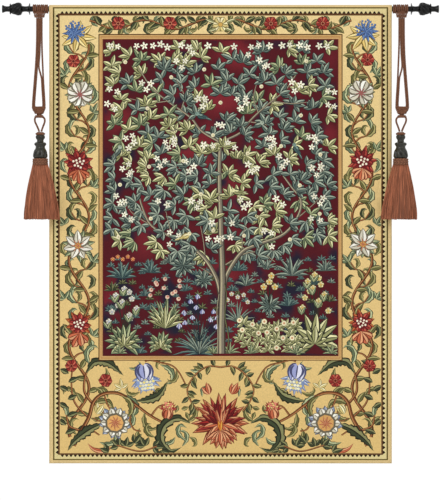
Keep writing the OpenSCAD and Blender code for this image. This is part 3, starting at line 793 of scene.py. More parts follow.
def seedpod(c, x, z, r, turn, hood, seed, rim):
    """A nodding flower: broad petals over rows of seeds inside a toothed rim."""
    a = math.radians(turn)
    c.whorl(x, z, 1.12 * r, 11, turn, 78, 0.3 * r, rim)
    c.disc(x + 0.3 * r * math.cos(a), z + 0.3 * r * math.sin(a), 0.6 * r, rim[2], count=14)
    for row in range(4):
        for k in range(-2, 3):
            across, down = (k + 0.5 * (row % 2)) * 0.21 * r * (1 - 0.06 * row), (0.12 + 0.2 * row) * r
            c.disc(x + down * math.cos(a) + across * math.sin(a),
                   z + down * math.sin(a) - across * math.cos(a),
                   0.1 * r, seed if (row + k) % 3 else (232, 214, 130), count=6)
    root = (x - 0.74 * r * math.cos(a), z - 0.74 * r * math.sin(a))
    for swing, wide in ((52, 0.78), (-52, 0.78), (0, 0.96)):
        c.leaf(*root, turn + swing, (1.0 - 0.1 * (swing == 0)) * r, wide * r, hood, bend=swing / 75,
               form="cup", steps=8)


def curl(c, x, z, turn, long, hand, wide, dyes, lobes=5):
    """A curling border leaf: it starts along turn and coils towards one hand."""
    a, points = math.radians(turn), [(x, z)]
    for k in range(7):
        x, z = x + long / 7 * math.cos(a), z + long / 7 * math.sin(a)
        a += math.radians(hand * (9 + 7 * k))
        points.append((x, z))
    c.frond(evenly(points, 3.2), wide, dyes, lobes=lobes)


def side_borders(c):
    """Two stalks that wind up each side, with curling leaves, and six kinds of flower."""
    for c.flip in (1, -1):
        lean = 3 if c.flip > 0 else 0
        wind = [(281 + 20 * math.sin((z + 880) / 27), z) for z in range(-850, -60, 12)]
        for k, z in enumerate(range(-694, -78, 33)):
            x = 281 + 20 * math.sin((z + 880) / 27)
            hand = 1 if x < 281 else -1
            branch = [(x, z), (x + 10 * hand, z + 9), (x + 22 * hand, z + 13), (x + 31 * hand, z + 26)]
            curl(c, x - 4 * hand, z + 6, 90 + 48 * hand, 40, -hand, 15, (OLIVE, DEEP, FERN)[k % 3], 4)
            curl(c, x + 20 * hand, z + 11, 90 - 66 * hand, 44, hand, 16, (FERN, OLIVE, DEEP)[k % 3], 5)
            c.stem(branch, 4.4, 2.4, WOOD, 5)
            curl(c, *branch[-1], 90 - 8 * hand, 34, hand, 13, (OLIVE, FERN)[k % 2], 4)
            curl(c, *branch[-2], 90 + 40 * hand, 30, -hand, 11, (DEEP, OLIVE)[k % 2], 3)
        c.stem(wind, 6.8, 4.6, WOOD, 6)
        c.sprigs(wind, 25, 27, 12, OLIVE, first=-1, slant=52)
        for z in range(-664, -90, 74):
            hand = 1 if (z // 74) % 2 else -1
            c.whorl(281 - 28 * hand, z + 14, 21, 3, 90 + 30 * hand, 50, 9, FERN)
        z = lean - 4
        c.whorl(284, z - 50, 37, 7, 236, 118, 15, YOLK, 0.2)
        c.whorl(290, z - 44, 25, 9, 80, 160, 7, BLUE)
        for k in range(34):
            a, far = 2.4 * k, 2.55 * math.sqrt(k)
            c.leaf(289 + 1.25 * far * math.cos(a), z - 38 + far * math.sin(a), math.degrees(a),
                   5.5, 4.6, BLUE)
        c.flower(292, z - 100, 15, 6, 13, RED, (216, 120, 90))
        c.disc(292, z - 100, 3, (80, 22, 20), count=6)
        c.whorl(279, z - 166, 33, 8, 68, 157, 13, FERN)
        c.flower(279, z - 166, 29, 8, 22, WHITE, (190, 128, 108), heart_r=0.14)
        for k in range(8):
            c.leaf(279, z - 166, 45 * k + 10, 13, 2.4, ((120, 60, 60), (176, 110, 110), (150, 80, 80)))
        peony(c, 282, z - 302, 33, RED, ((84, 22, 24), (176, 66, 56), (128, 36, 36)), 80)
        c.whorl(282, z - 316, 27, 5, 262, 56, 15, FLAME, form="petal")
        c.whorl(283, z - 466, 36, 7, 60, 154, 14, FERN)
        c.flower(283, z - 466, 33, 7, 20, WHITE, (226, 176, 80), "pointed", heart_r=0.18)
        for k in range(7):
            c.leaf(283, z - 466, 51 * k, 15, 2.4, FLAME, form="blade")
        peony(c, 281, z - 622, 30, ((104, 40, 20), (206, 118, 66), (160, 70, 36)), RED, 60)
        c.whorl(279, z - 640, 30, 4, 280, 50, 16, FLAME, form="petal")
    c.flip = 1


def top_border(c):
    """A waving stalk with rosettes and leaves along the head."""
    for c.flip in (1, -1):
        wave = [(x, -31 + 9 * math.sin(x / 19.0)) for x in range(0, 268, 10)]
        for k, x in enumerate(range(12, 262, 21)):
            hand = 1 if k % 2 else -1
            curl(c, x, -31 - 4 * hand, 34 * hand, 34, hand, 13, (DEEP, OLIVE, FERN)[k % 3], 4)
            curl(c, x + 10, -31 + 8 * hand, 180 - 30 * hand, 25, hand, 11, (OLIVE, DEEP)[k % 2], 3)
        c.stem(wave, 5.4, 4.4, WOOD, 6)
        c.sprigs(wave, 17, 22, 11, OLIVE, slant=46)
        c.sprigs(wave, 25, 24, 11, DEEP, first=-1, slant=30)
        for x in (100, 203):
            c.flower(x, -29, 15, 6, 14, RED, (226, 150, 110))
            c.disc(x, -29, 3, (96, 26, 20), count=6)
        c.leaf(24, -44, 160, 24, 8, MOSS)
        c.leaf(30, -20, 200, 24, 8, MOSS)
    c.flip = 1
    c.flower(0, -31, 17, 6, 15, IVORY, (214, 170, 90))


def foot_border(c):
    """Scrolls, leaf wreaths, nodding flowers and the great bloom below the field."""
    for c.flip in (1, -1):
        for x, z, turn, long, hand, wide, dyes, lobes in (
                (254, -786, 150, 60, 1, 15, OLIVE, 4), (196, -766, 200, 70, 1, 17, FERN, 6),
                (150, -800, 280, 58, -1, 15, OLIVE, 5), (258, -708, 60, 60, 1, 15, FERN, 5),
                (286, -768, 60, 40, -1, 13, OLIVE, 4), (120, -706, 200, 62, 1, 15, FERN, 5),
                (98, -700, 20, 46, -1, 12, OLIVE, 4), (284, -846, 40, 50, 1, 13, OLIVE, 4),
                (176, -800, 250, 44, 1, 13, FERN, 4), (70, -820, 160, 52, -1, 13, OLIVE, 5),
                (76, -868, 130, 46, -1, 12, FERN, 4), (224, -772, 80, 40, -1, 12, OLIVE, 4),
                (240, -860, 200, 50, -1, 13, FERN, 4), (160, -760, 330, 40, 1, 11, OLIVE, 4),
                (228, -712, 250, 44, 1, 13, OLIVE, 4), (182, -712, 200, 36, -1, 11, FERN, 3),
                (306, -812, 100, 44, -1, 14, FERN, 5), (272, -856, 60, 44, 1, 14, DEEP, 4),
                (250, -752, 200, 34, 1, 12, OLIVE, 3), (134, -776, 100, 40, 1, 13, OLIVE, 4),
                (88, -716, 260, 40, 1, 12, OLIVE, 4), (60, -716, 200, 30, -1, 11, FERN, 3),
                (36, -770, 80, 34, 1, 10, FERN, 3), (130, -850, 20, 44, 1, 13, OLIVE, 4),
                (90, -850, 300, 36, 1, 12, FERN, 4), (160, -832, 300, 34, -1, 11, OLIVE, 3),
                (258, -812, 200, 36, -1, 12, OLIVE, 4), (62, -850, 200, 30, 1, 11, OLIVE, 3)):
            curl(c, x, z, turn, long, hand, wide, dyes, lobes)
        scroll = [(284, -850), (262, -812), (252, -780), (232, -764), (200, -764), (168, -786),
                  (138, -808), (104, -826)]
        for route, thick, thin in (
                ([(252, -786), (270, -760), (268, -728), (258, -706)], 6, 4),
                ([(262, -812), (290, -780), (296, -740), (292, -700)], 4.4, 3),
                ([(168, -786), (180, -812), (172, -834), (158, -838)], 4.8, 3),
                ([(138, -808), (124, -790), (112, -786)], 4.4, 3),
                ([(276, -838), (300, -828), (306, -806)], 6, 3),
                ([(232, -764), (222, -790), (212, -800)], 4, 3),
                ([(150, -700), (140, -697), (118, -702), (96, -708), (82, -722), (70, -744)], 3.8, 3),
                ([(290, -868), (276, -842), (258, -836), (240, -846)], 5, 3),
                ([(252, -784), (232, -800), (238, -818), (254, -812)], 4, 2.4), (scroll, 8.6, 5)):
            c.stem(route, thick, thin, WOOD, 5)
        wreath = [(0, -711), (20, -709), (38, -716), (56, -734), (66, -756), (58, -780), (44, -798)]
        c.stem(wreath, 4.0, 3.4, WOOD, 5)
        c.sprigs(wreath, 11.5, 20, 10, DEEP, slant=58)
        c.sprigs(wreath, 19, 18, 9, OLIVE, first=-1, slant=44)
        c.sprigs([(92, -778), (70, -800), (50, -792)], 11, 18, 9, OLIVE)
        for route, wide, dyes, lobes in (
                ([(60, -822), (86, -812), (112, -826), (119, -854), (100, -877), (76, -870)], 28, DEEP, 7),
                ([(68, -858), (84, -842), (80, -826), (66, -832)], 13, FERN, 4),
                ([(168, -778), (146, -776), (122, -766), (104, -738)], 23, DEEP, 8),
                ([(266, -722), (250, -701), (222, -703), (192, -728)], 25, DEEP, 8),
                ([(232, -822), (262, -836), (290, -858), (304, -878)], 26, DEEP, 8),
                ([(196, -768), (180, -780), (178, -800), (190, -816)], 16, OLIVE, 5),
                ([(216, -870), (232, -878), (252, -874), (264, -862)], 11, FLAME, 0)):
            c.frond(evenly(route, 3.2), wide, dyes, lobes=lobes)
        for x, z, turn in ((170, -862, 130), (150, -868, 60), (188, -868, 100), (134, -868, 190),
                           (202, -868, 40), (118, -876, 250), (222, -880, 20)):
            c.whorl(x, z, 22, 3, turn, 50, 11, DEEP)
        c.stem([(126, -868), (160, -878), (206, -866)], 3.4, 3, WOOD, 6)
        c.sprigs([(310, -860), (304, -800), (302, -740), (300, -690)], 17, 23, 12, DEEP, slant=55)
        for x, z, r in ((296, -709, 14), (228, -738, 15)):
            c.flower(x, z, r, 6, 0.9 * r, RED, (216, 130, 96))
            c.disc(x, z, 3, (96, 26, 20), count=6)
        c.whorl(209, -822, 37, 11, 90, 164, 12, SLATE, form="petal")
        c.flower(209, -822, 33, 10, 17, WHITE, (224, 170, 100), heart_r=0.5)
        for k in range(9):
            c.leaf(209, -822, 40 * k + 8, 15, 3.4, FLAME, bend=0.3)
        seedpod(c, 150, -731, 31, 262, LILAC, (240, 234, 196), HAZE)
        seedpod(c, 104, -797, 19, 100, FLAME, (236, 150, 120), RED)
        for x, z, turn in ((22, -753, 68), (246, -792, 120)):
            c.whorl(x, z - 12, 26, 3, turn, 22, 12, FLAME if x < 100 else IVORY)
        c.whorl(196, -752, 19, 4, 60, 80, 9, IVORY)
    c.flip = 1
    # The great bloom: fans of petals, the widest first
    low, dark = -824, ((70, 16, 18), (156, 40, 34), (110, 24, 24))
    tan = ((104, 44, 24), (226, 160, 116), (176, 92, 60))
    for long, count, spread, wide, dyes, shift in (
            (60, 13, 160, 18, tan, 0), (56, 12, 168, 13, RED, 2), (51, 13, 150, 13, tan, 2),
            (50, 9, 72, 15, dark, -2), (40, 11, 165, 12, FLAME, 2), (38, 9, 60, 10, dark, 0)):
        c.whorl(0, low + shift, long, count, 90, spread, wide, dyes, 0.16)
    c.whorl(0, low - 8, 42, 7, 90, 24, 6, FLAME)
    c.whorl(0, low - 12, 40, 7, 270, 52, 15, tan, 0.2)
    c.whorl(0, low - 14, 30, 5, 270, 40, 12, FLAME, 0.15)
    c.whorl(0, low - 14, 24, 3, 90, 14, 7, ((150, 60, 20), (246, 190, 90), (226, 140, 50)))


def drawn():
    """The whole cartoon, from the edge bands to the last blossom."""
    c = Cartoon(sizes().seed)
    for half, top, low, dye in BANDS[:GOLD_BAND + 1]:
        c.lay(box_shape(half, top, low), dye, 0)
    teeth(c)
    c.window = inside(BANDS[GOLD_BAND])
    side_borders(c)
    top_border(c)
    foot_border(c)
    c.window = None
    for half, top, low, dye in BANDS[GOLD_BAND + 1:]:
        c.field = len(c.shapes)
        c.lay(box_shape(half, top, low), dye, 0)
    c.window = inside(BANDS[-1])
    meadow(c)
    tree(c)
    return c


# ---- Cloth ----
# The panel's face and how thick it is; its foot; and half its width
FACE_Y, CLOTH, FOOT_Z, HALF = -1.6, 1.6, -902.0, 340.0
# The cloth's face turns over the rod at TOP_R, leaves it at TOUCH, and hangs flat from DROP down.
# TURN_START is the angle at TOUCH, in degrees, and TURN_END the length of cloth above the rod's middle.
TOP_R, TOUCH_Z, TOUCH_Y, DROP = 8.0, -2.15, -7.705, -24.0
TURN_START, TURN_END = 195.6, 23.2
# Where the skirts lie over the cloth, and how far from there it goes flat
SKIRT_X, SKIRT_TOP, SKIRT_LOW, SKIRT_EASE = 256.0, -286.0, -440.0, 20.0


def ripple(x, z):
    """How far the hanging cloth stands off its plane: slow folds, flat behind the skirts and at the head."""
    wave = (np.sin(x / 61 + 0.8 + z / 600) + 0.5 * np.sin(x / 33 - z / 210)
            + 0.35 * np.sin(z / 90 + x / 140)) / 1.85
    hang = np.clip((-z - 40) / 260, 0, 1)
    over = np.minimum(SKIRT_TOP - z, z - SKIRT_LOW) + SKIRT_EASE
    near = np.clip((np.abs(x) - SKIRT_X) / SKIRT_EASE, 0, 1) * np.clip(over / SKIRT_EASE, 0, 1)
    return sizes().ripple * wave * hang * (1 - near)


def on_cloth(x, z, back=0.0):
    """The cloth's surface over the rod and down to the foot; back moves it towards the wall."""
    x, z = np.asarray(x, float), np.asarray(z, float)
    flat = FACE_Y + back + ripple(x, z)
    share = np.clip((z - DROP) / (TOUCH_Z - DROP), 0, 1)
    radius = TOP_R - back
    angle = math.radians(TURN_START) - np.clip(z - TOUCH_Z, 0, None) / TOP_R
    over = z > TOUCH_Z
    y = np.where(over, radius * np.cos(angle), flat + share * (TOUCH_Y * radius / TOP_R - flat))
    height = np.where(over, radius * np.sin(angle), z)
    return np.stack([x, y, height], 1)


def cloth_rows():
    """Heights of the cloth's own points, closer together over the rod."""
    straight = np.linspace(FOOT_Z, DROP, round((DROP - FOOT_Z) / sizes().drawing_grid) + 1)
    bent, turning = np.linspace(DROP, TOUCH_Z, 5), np.linspace(TOUCH_Z, TURN_END, 17)
    return np.concatenate([straight, bent[1:], turning[1:]])


class HANGING_OT_panel(bpy.types.Operator):
    """Make the woven panel: one sheet of cloth whose drawing is in its mesh"""
    bl_idname = "hanging.panel"
    bl_label = "Woven Panel"

    def execute(self, context):
        c = drawn()
        rows = cloth_rows()
        columns = np.linspace(-HALF, HALF, round(2 * HALF / sizes().drawing_grid) + 1)
        across, up = np.meshgrid(columns, rows)
        grid = np.stack([across.ravel(), up.ravel()], 1)
        wide, high = len(columns), len(rows)
        rim = ([(0, k) for k in range(wide)] + [(k, wide - 1) for k in range(1, high)]
               + [(high - 1, k) for k in range(wide - 2, -1, -1)] + [(k, 0) for k in range(high - 2, 0, -1)])
        rim = [i * wide + k for i, k in rim]
        ends = rim[1:] + rim[:1]
        points, edges, base = [grid], list(zip(rim, ends)), len(grid)
        for shape in c.shapes[1:]:
            points.append(shape)
            edges += [(base + i, base + (i + 1) % len(shape)) for i in range(len(shape))]
            base += len(shape)
        made = delaunay_2d_cdt([Vector(p) for p in np.vstack(points).tolist()], edges, [], 0, 1e-4, False)
        flat = np.array([tuple(v) for v in made[0]])
        cells = np.array([f for f in made[2] if len(f) == 3])
        dye = self.dyed(c, flat, cells)
        back = on_cloth(grid[:, 0], grid[:, 1], CLOTH)
        front = on_cloth(flat[:, 0], flat[:, 1])
        near = KDTree(len(flat))
        for i, (x, z) in enumerate(flat):
            near.insert((x, z, 0), i)
        near.balance()
        edge = [near.find((x, z, 0))[1] for x, z in grid[rim]]
        count = len(front)
        corners = [count + i * wide + k for i in range(high - 1) for k in range(wide - 1)]
        behind = [(a, a + wide, a + wide + 1, a + 1) for a in corners]
        sides = [(a, count + b, count + d, e) for a, b, d, e in zip(edge, rim, ends, edge[1:] + edge[:1])]
        cloth = piece("woven_panel_cloth", np.vstack([front, back]), cells.tolist() + behind + sides,
                      "Weave", "panel", "weave", "woven_panel", near=0)
        shade = np.zeros((len(cloth.data.loops), 4), np.float32)
        shade[:] = tone((0.58, 0.42, 0.28))
        shade[:len(dye)] = dye
        cloth.data.attributes.new("dye", "FLOAT_COLOR", "CORNER").data.foreach_set("color", shade.ravel())
        return {"FINISHED"}

    def dyed(self, c, flat, cells):
        """A dye for each corner of the front: that of the last shape laid over the cell."""
        middle = flat[cells].mean(1)
        order = np.argsort(middle[:, 0])
        xs = middle[order, 0]
        owner = np.zeros(len(cells), int)
        for i, p in enumerate(c.shapes):
            low, high = np.searchsorted(xs, [p[:, 0].min(), p[:, 0].max()])
            picked = order[low:high]
            z = middle[picked, 1]
            picked = picked[(z > p[:, 1].min()) & (z < p[:, 1].max())]
            if not len(picked):
                continue
            q, a, b = middle[picked], p, np.roll(p, -1, 0)
            above = (a[:, 1] > q[:, 1, None]) != (b[:, 1] > q[:, 1, None])
            rise = np.where(np.abs(b[:, 1] - a[:, 1]) < 1e-9, 1e-9, b[:, 1] - a[:, 1])
            met = q[:, 0, None] < (b[:, 0] - a[:, 0]) * (q[:, 1, None] - a[:, 1]) / rise + a[:, 0]
            owner[picked[(above & met).sum(1) % 2 == 1]] = i
        dyes = np.array([linear([v / 255 for v in d]) for d in c.dyes])
        corner = np.repeat(dyes[owner][:, None], 3, 1)
        spots = flat[cells]
        s = colours()
        ground = owner == GOLD_BAND
        down = np.clip(-spots[ground][..., 1:] / 900, 0, 1)
        corner[ground] = np.array(linear(s.gold)) * (1 - down) + np.array(linear(s.amber)) * down
        field = np.unique(cells[owner == c.field])
        shade = np.zeros((len(flat), 3))
        red, crimson, night = (np.array(linear(v)) for v in (s.field, s.crimson, s.night))
        for i in field:
            x, z = flat[i]
            warm = noise.noise(Vector((x / 62, z / 62, 3.1))) * 1.5 + 0.12
            warm += 1.1 * math.exp(-(((x - 6) / 45) ** 2 + ((z + 186) / 34) ** 2)) - 0.5 * abs(x) / 233
            cold = noise.noise(Vector((x / 30, z / 30, 9.7))) * 3 - 0.75 + 0.5 * (z < -440)
            warm, cold = min(1, max(0, warm)), min(1, max(0, cold))
            shade[i] = (red * (1 - warm) + crimson * warm) * (1 - cold) + night * cold
        corner[owner == c.field] = shade[cells[owner == c.field]]
        return np.concatenate([corner.reshape(-1, 3), np.ones((len(cells) * 3, 1))], 1)


# The turned hems: their foot, how far behind the panel's face they lie, and how thick they are
HEM_LOW, HEM_BACK, HEM = -901.5, 1.65, 1.2
# The top of the hems and the lining, and the seam of the rod pocket above it
HEM_TOP, SEAM_Z = -26, -23.9


def slab(left, right, low, high, back, thick, across=8, down=90):
    """A flat strip of cloth that follows the panel's folds, back behind the panel's front."""
    x, z = np.meshgrid(np.linspace(left, right, across + 1), np.linspace(low, high, down + 1))
    x, z = x.ravel(), z.ravel()
    lift = ripple(x, z)
    points = np.vstack([np.stack([x, FACE_Y + back + lift, z], 1),
                        np.stack([x, FACE_Y + back + thick + lift, z], 1)])
    wide, count = across + 1, len(x)
    faces = []
    for a in [i * wide + k for i in range(down) for k in range(across)]:
        b = count + a
        faces += [(a, a + 1, a + wide + 1, a + wide), (b, b + wide, b + wide + 1, b + 1)]
    rim = ([k for k in range(across)] + [i * wide + across for i in range(down)]
           + [down * wide + across - k for k in range(across)] + [(down - i) * wide for i in range(down)])
    faces += [(a, count + a, count + b, b) for a, b in zip(rim, rim[1:] + rim[:1])]
    return points, faces


class HANGING_OT_backing(bpy.types.Operator):
    """Make the turned hems, the lining and the rod pocket"""
    bl_idname = "hanging.backing"
    bl_label = "Hems, Lining and Pocket"

    def execute(self, context):
        for side, hand in SIDES:
            edge, inner = sorted((hand * 339.7, hand * 320.0))
            hem = piece(f"{side}_hem_fold", *slab(edge, inner, HEM_LOW, HEM_TOP, HEM_BACK, HEM, 4), "Reverse",
                        "panel", "weave", f"hem_{side}")
        hem = piece("foot_hem_fold", *slab(-319.9, 319.9, HEM_LOW, -882, HEM_BACK, HEM, 70, 4), "Reverse",
                    "panel", "weave", "hem_bottom")
        cloth = piece("lining_cloth", *slab(-332, 332, -894, HEM_TOP, 2.9, 0.6, 72, 90), "Lining", "panel",
                      "lining", "lining")
        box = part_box("rod_pocket")
        section = self.pocket_section()
        rings = np.linspace(box[0][0] / MM + 0.2, box[1][0] / MM - 0.2, 90)
        around = len(section)
        points = np.array([(x, y, z) for x in rings for y, z in section])
        faces = [tuple(reversed(f)) for f in quads(len(rings), around)]
        # the section is a band whose two ends are joined, so its two rim faces are strips of quads
        half = around // 2
        for base in (0, (len(rings) - 1) * around):
            faces += [(base + k, base + k + 1, base + around - 2 - k, base + around - 1 - k)
                      for k in range(half - 1)]
        pocket = piece("rod_pocket_cloth", points, faces, "Lining", "panel", "lining", "rod_pocket")
        return {"FINISHED"}

    @staticmethod
    def pocket_section():
        """The pocket's cloth in section: from its seam up the front, round the rod and down its back."""
        outer, inner = [], []
        for radius, y_front, y_back, line in ((6.3, 0.1, 1.2, outer), (5.65, 0.7, 0.78, inner)):
            line.append((y_front, SEAM_Z))
            for a in np.linspace(190, -10, 41):
                line.append((radius * math.cos(math.radians(a)), radius * math.sin(math.radians(a))))
            line.append((y_back, SEAM_Z))
        return outer + inner[::-1]


# ---- Repeated pieces grown by Geometry Nodes ----
class Growth:
    """A Geometry Nodes tree with named inputs, and the mesh that it makes."""

    def __init__(self, name, inputs):
        self.tree = bpy.data.node_groups.new(name, "GeometryNodeTree")
        face = self.tree.interface
        face.new_socket(name="Geometry", in_out="INPUT", socket_type="NodeSocketGeometry")
        for label, kind, value in inputs:
            face.new_socket(name=label, in_out="INPUT", socket_type=kind).default_value = value
        face.new_socket(name="Material", in_out="INPUT", socket_type="NodeSocketMaterial")
        face.new_socket(name="Geometry", in_out="OUTPUT", socket_type="NodeSocketGeometry")
        self.start = put(self.tree.nodes, "NodeGroupInput", -1400)
        self.end = put(self.tree.nodes, "NodeGroupOutput", 1400)

    def node(self, kind, inputs=None, **values):
        """One node: inputs takes a number, a vector or another node's socket, and values its properties."""
        node = put(self.tree.nodes, kind, 0, **values)
        for key, value in (inputs or {}).items():
            if isinstance(value, bpy.types.NodeSocket):
                join(self.tree, value, node.inputs[key])
            else:
                node.inputs[key].default_value = value
        return node

    def sum(self, operation, a, b):
        return self.node("ShaderNodeMath", {0: a, 1: b}, operation=operation).outputs[0]

    def noted(self, geometry, name, value, kind, domain):
        """The geometry with a named attribute stored on it."""
        made = {"Geometry": geometry, "Name": name, "Value": value}
        return self.node("GeometryNodeStoreNamedAttribute", made, data_type=kind, domain=domain).outputs[0]

    def finish(self, geometry):
        real = self.node("GeometryNodeRealizeInstances", {0: geometry})
        painted = self.node("GeometryNodeSetMaterial", {"Geometry": real.outputs[0],
                                                        "Material": self.start.outputs["Material"]})
        smooth = self.node("GeometryNodeSetShadeSmooth", {"Geometry": painted.outputs[0]})
        join(self.tree, smooth.outputs[0], self.end.inputs[0])

    def grow(self, name, base, finish, values):
        """The plain mesh that the tree makes from a base mesh with these values."""
        host = bpy.data.objects.new(name + "_base", base)
        bpy.context.scene.collection.objects.link(host)
        modifier = host.modifiers.new(name, "NODES")
        modifier.node_group = self.tree
        values = {**values, "Material": finishes()[finish]}
        for item in self.tree.interface.items_tree:
            if item.item_type == "SOCKET" and item.in_out == "INPUT" and item.name in values:
                modifier[item.identifier] = values[item.name]
        ready = bpy.context.evaluated_depsgraph_get()
        mesh = bpy.data.meshes.new_from_object(host.evaluated_get(ready), depsgraph=ready)
        host.modifiers.clear()
        bpy.data.objects.remove(host)
        mesh.name = name
        return bpy.data.objects.new(name, mesh)


def stitch_growth():
    """Small stitches laid end to end along the base's lines."""
    g = Growth("Stitch Row", [("Spacing", "NodeSocketFloat", 0.0055), ("Length", "NodeSocketFloat", 0.0042),
                              ("Thickness", "NodeSocketFloat", 0.0008)])
    put_in = g.start.outputs
    line = g.node("GeometryNodeMeshToCurve", {0: put_in["Geometry"]})
    even = g.node("GeometryNodeResampleCurve", {"Curve": line.outputs[0], "Length": put_in["Spacing"]},
                  mode="LENGTH")
    stitch = g.node("GeometryNodeMeshUVSphere", {"Segments": 6, "Rings": 5, "Radius": 0.5})
    tangent = g.node("GeometryNodeInputTangent")
    turn = g.node("FunctionNodeAlignRotationToVector", {"Vector": tangent.outputs[0]}, axis="Z")
    scale = g.node("ShaderNodeCombineXYZ", {0: put_in["Thickness"], 1: put_in["Thickness"],
                                            2: put_in["Length"]})
    laid = g.node("GeometryNodeInstanceOnPoints", {
        "Points": even.outputs[0], "Instance": stitch.outputs["Mesh"], "Rotation": turn.outputs[0],
        "Scale": scale.outputs[0]})
    g.finish(g.noted(laid.outputs[0], "crease", 1.0, "FLOAT", "INSTANCE"))
    return g


class HANGING_OT_stitches(bpy.types.Operator):
    """Sew the lining to the hems, and the pocket to the panel"""
    bl_idname = "hanging.stitches"
    bl_label = "Stitches"

    def execute(self, context):
        g = stitch_growth()
        s = sizes()
        down = np.linspace(-890, -30, 60)
        wide = np.linspace(-328, 328, 60)
        hems = [[(-329.6, z) for z in down], [(x, -891.6) for x in wide], [(329.6, z) for z in down]]
        for node, lines, behind in (("hem_stitching", hems, 2.15),
                                    ("pocket_stitching", [[(x, -25) for x in wide]], 1.0)):
            points, edges = [], []
            for line in lines:
                base = len(points)
                for x, z in line:
                    lift = float(ripple(np.array(x), np.array(z)))
                    points.append((x * MM, (behind + lift) * MM, z * MM))
                edges += [(base + i, base + i + 1) for i in range(len(line) - 1)]
            base = bpy.data.meshes.new(node + "_line")
            base.from_pydata(points, edges, [])
            row = g.grow(node + "_row", base, "Thread", {
                "Spacing": 1.35 * s.stitch * MM, "Length": s.stitch * MM})
            own(row, "Thread", "panel", "thread", node)
        return {"FINISHED"}


def fringe_growth():
    """Strands that fall from a ring, spread to the skirt's foot and wave a little."""
    g = Growth("Fringe", [
        ("Strands", "NodeSocketInt", 300), ("Seed", "NodeSocketInt", 3),
        ("Top Width", "NodeSocketFloat", 0.03), ("Top Depth", "NodeSocketFloat", 0.022),
        ("Low Width", "NodeSocketFloat", 0.07), ("Low Depth", "NodeSocketFloat", 0.032),
        ("Length", "NodeSocketFloat", 0.108), ("Lean", "NodeSocketFloat", 0.003),
        ("Thickness", "NodeSocketFloat", 0.0012), ("Hang Point", "NodeSocketVector", (0, 0, 0))])
    put_in = g.start.outputs
    line = g.node("GeometryNodeCurvePrimitiveLine", {"Start": (0, 0, 0), "End": (0, 0, -1)})
    even = g.node("GeometryNodeResampleCurve", {"Curve": line.outputs[0], "Count": 11})
    down_at = g.node("GeometryNodeSplineParameter")
    marked = g.noted(even.outputs[0], "down", down_at.outputs["Factor"], "FLOAT", "POINT")
    row = g.node("GeometryNodeMeshLine", {"Count": put_in["Strands"]})
    many = g.node("GeometryNodeInstanceOnPoints", {"Points": row.outputs[0], "Instance": marked})
    index = g.node("GeometryNodeInputIndex")
    named = g.noted(many.outputs[0], "strand", index.outputs[0], "INT", "INSTANCE")
    real = g.node("GeometryNodeRealizeInstances", {0: named})
    strand = g.node("GeometryNodeInputNamedAttribute", {"Name": "strand"}, data_type="INT").outputs[0]
    down = g.node("GeometryNodeInputNamedAttribute", {"Name": "down"}, data_type="FLOAT").outputs[0]

    def chance(low, high, more):
        """A number for each strand between low and high; more sets one such number apart from the next."""
        seed = g.sum("ADD", put_in["Seed"], more)
        node = g.node("FunctionNodeRandomValue", {"ID": strand, "Seed": seed}, data_type="FLOAT")
        node.inputs[2].default_value, node.inputs[3].default_value = low, high
        return node.outputs[1]

    angle = g.sum("ADD", g.sum("MULTIPLY", strand, 2.39996), g.sum("MULTIPLY", down, chance(-0.12, 0.12, 1)))
    layer = chance(0.84, 0.985, 2)
    short = g.sum("SUBTRACT", 1.0, down)
    phase = g.sum("ADD", g.sum("MULTIPLY", down, 9.0), chance(0, 6.3, 3))
    swing = g.node("ShaderNodeMath", {0: phase}, operation="SINE").outputs[0]
    wave = g.sum("MULTIPLY", swing, g.sum("MULTIPLY", down, 0.0007))

    def spread(top, low, power):
        """Half the skirt's size at this height, between its top and its foot."""
        grow = g.sum("SUBTRACT", 1.0, g.sum("POWER", short, power))
        more = g.sum("MULTIPLY", grow, g.sum("SUBTRACT", put_in[low], put_in[top]))
        return g.sum("MULTIPLY", g.sum("MULTIPLY", g.sum("ADD", put_in[top], more), layer), 0.5)

    cosine = g.node("ShaderNodeMath", {0: angle}, operation="COSINE").outputs[0]
    sine = g.node("ShaderNodeMath", {0: angle}, operation="SINE").outputs[0]
    x = g.sum("ADD", g.sum("ADD", g.sum("MULTIPLY", spread("Top Width", "Low Width", 1.5), cosine),
                           g.sum("MULTIPLY", put_in["Lean"], down)), wave)
    y = g.sum("ADD", g.sum("MULTIPLY", spread("Top Depth", "Low Depth", 2.4), sine),
              g.sum("MULTIPLY", wave, -0.5))
    z = g.sum("MULTIPLY", g.sum("MULTIPLY", put_in["Length"], down), chance(-1.0, -0.965, 4))
    place = g.node("ShaderNodeCombineXYZ", {0: x, 1: y, 2: z})
    whole = g.node("ShaderNodeVectorMath", {0: place.outputs[0], 1: put_in["Hang Point"]}, operation="ADD")
    shaped = g.node("GeometryNodeSetPosition", {"Geometry": real.outputs[0], "Position": whole.outputs[0]})
    shaded = g.noted(shaped.outputs[0], "shade", chance(0.72, 1.2, 5), "FLOAT", "POINT")
    radius = g.sum("MULTIPLY", put_in["Thickness"], 0.5)
    ring = g.node("GeometryNodeCurvePrimitiveCircle", {"Resolution": 5, "Radius": radius})
    tube = g.node("GeometryNodeCurveToMesh", {"Curve": shaded, "Profile Curve": ring.outputs[0],
                                              "Fill Caps": True})
    g.finish(tube.outputs[0])
    return g


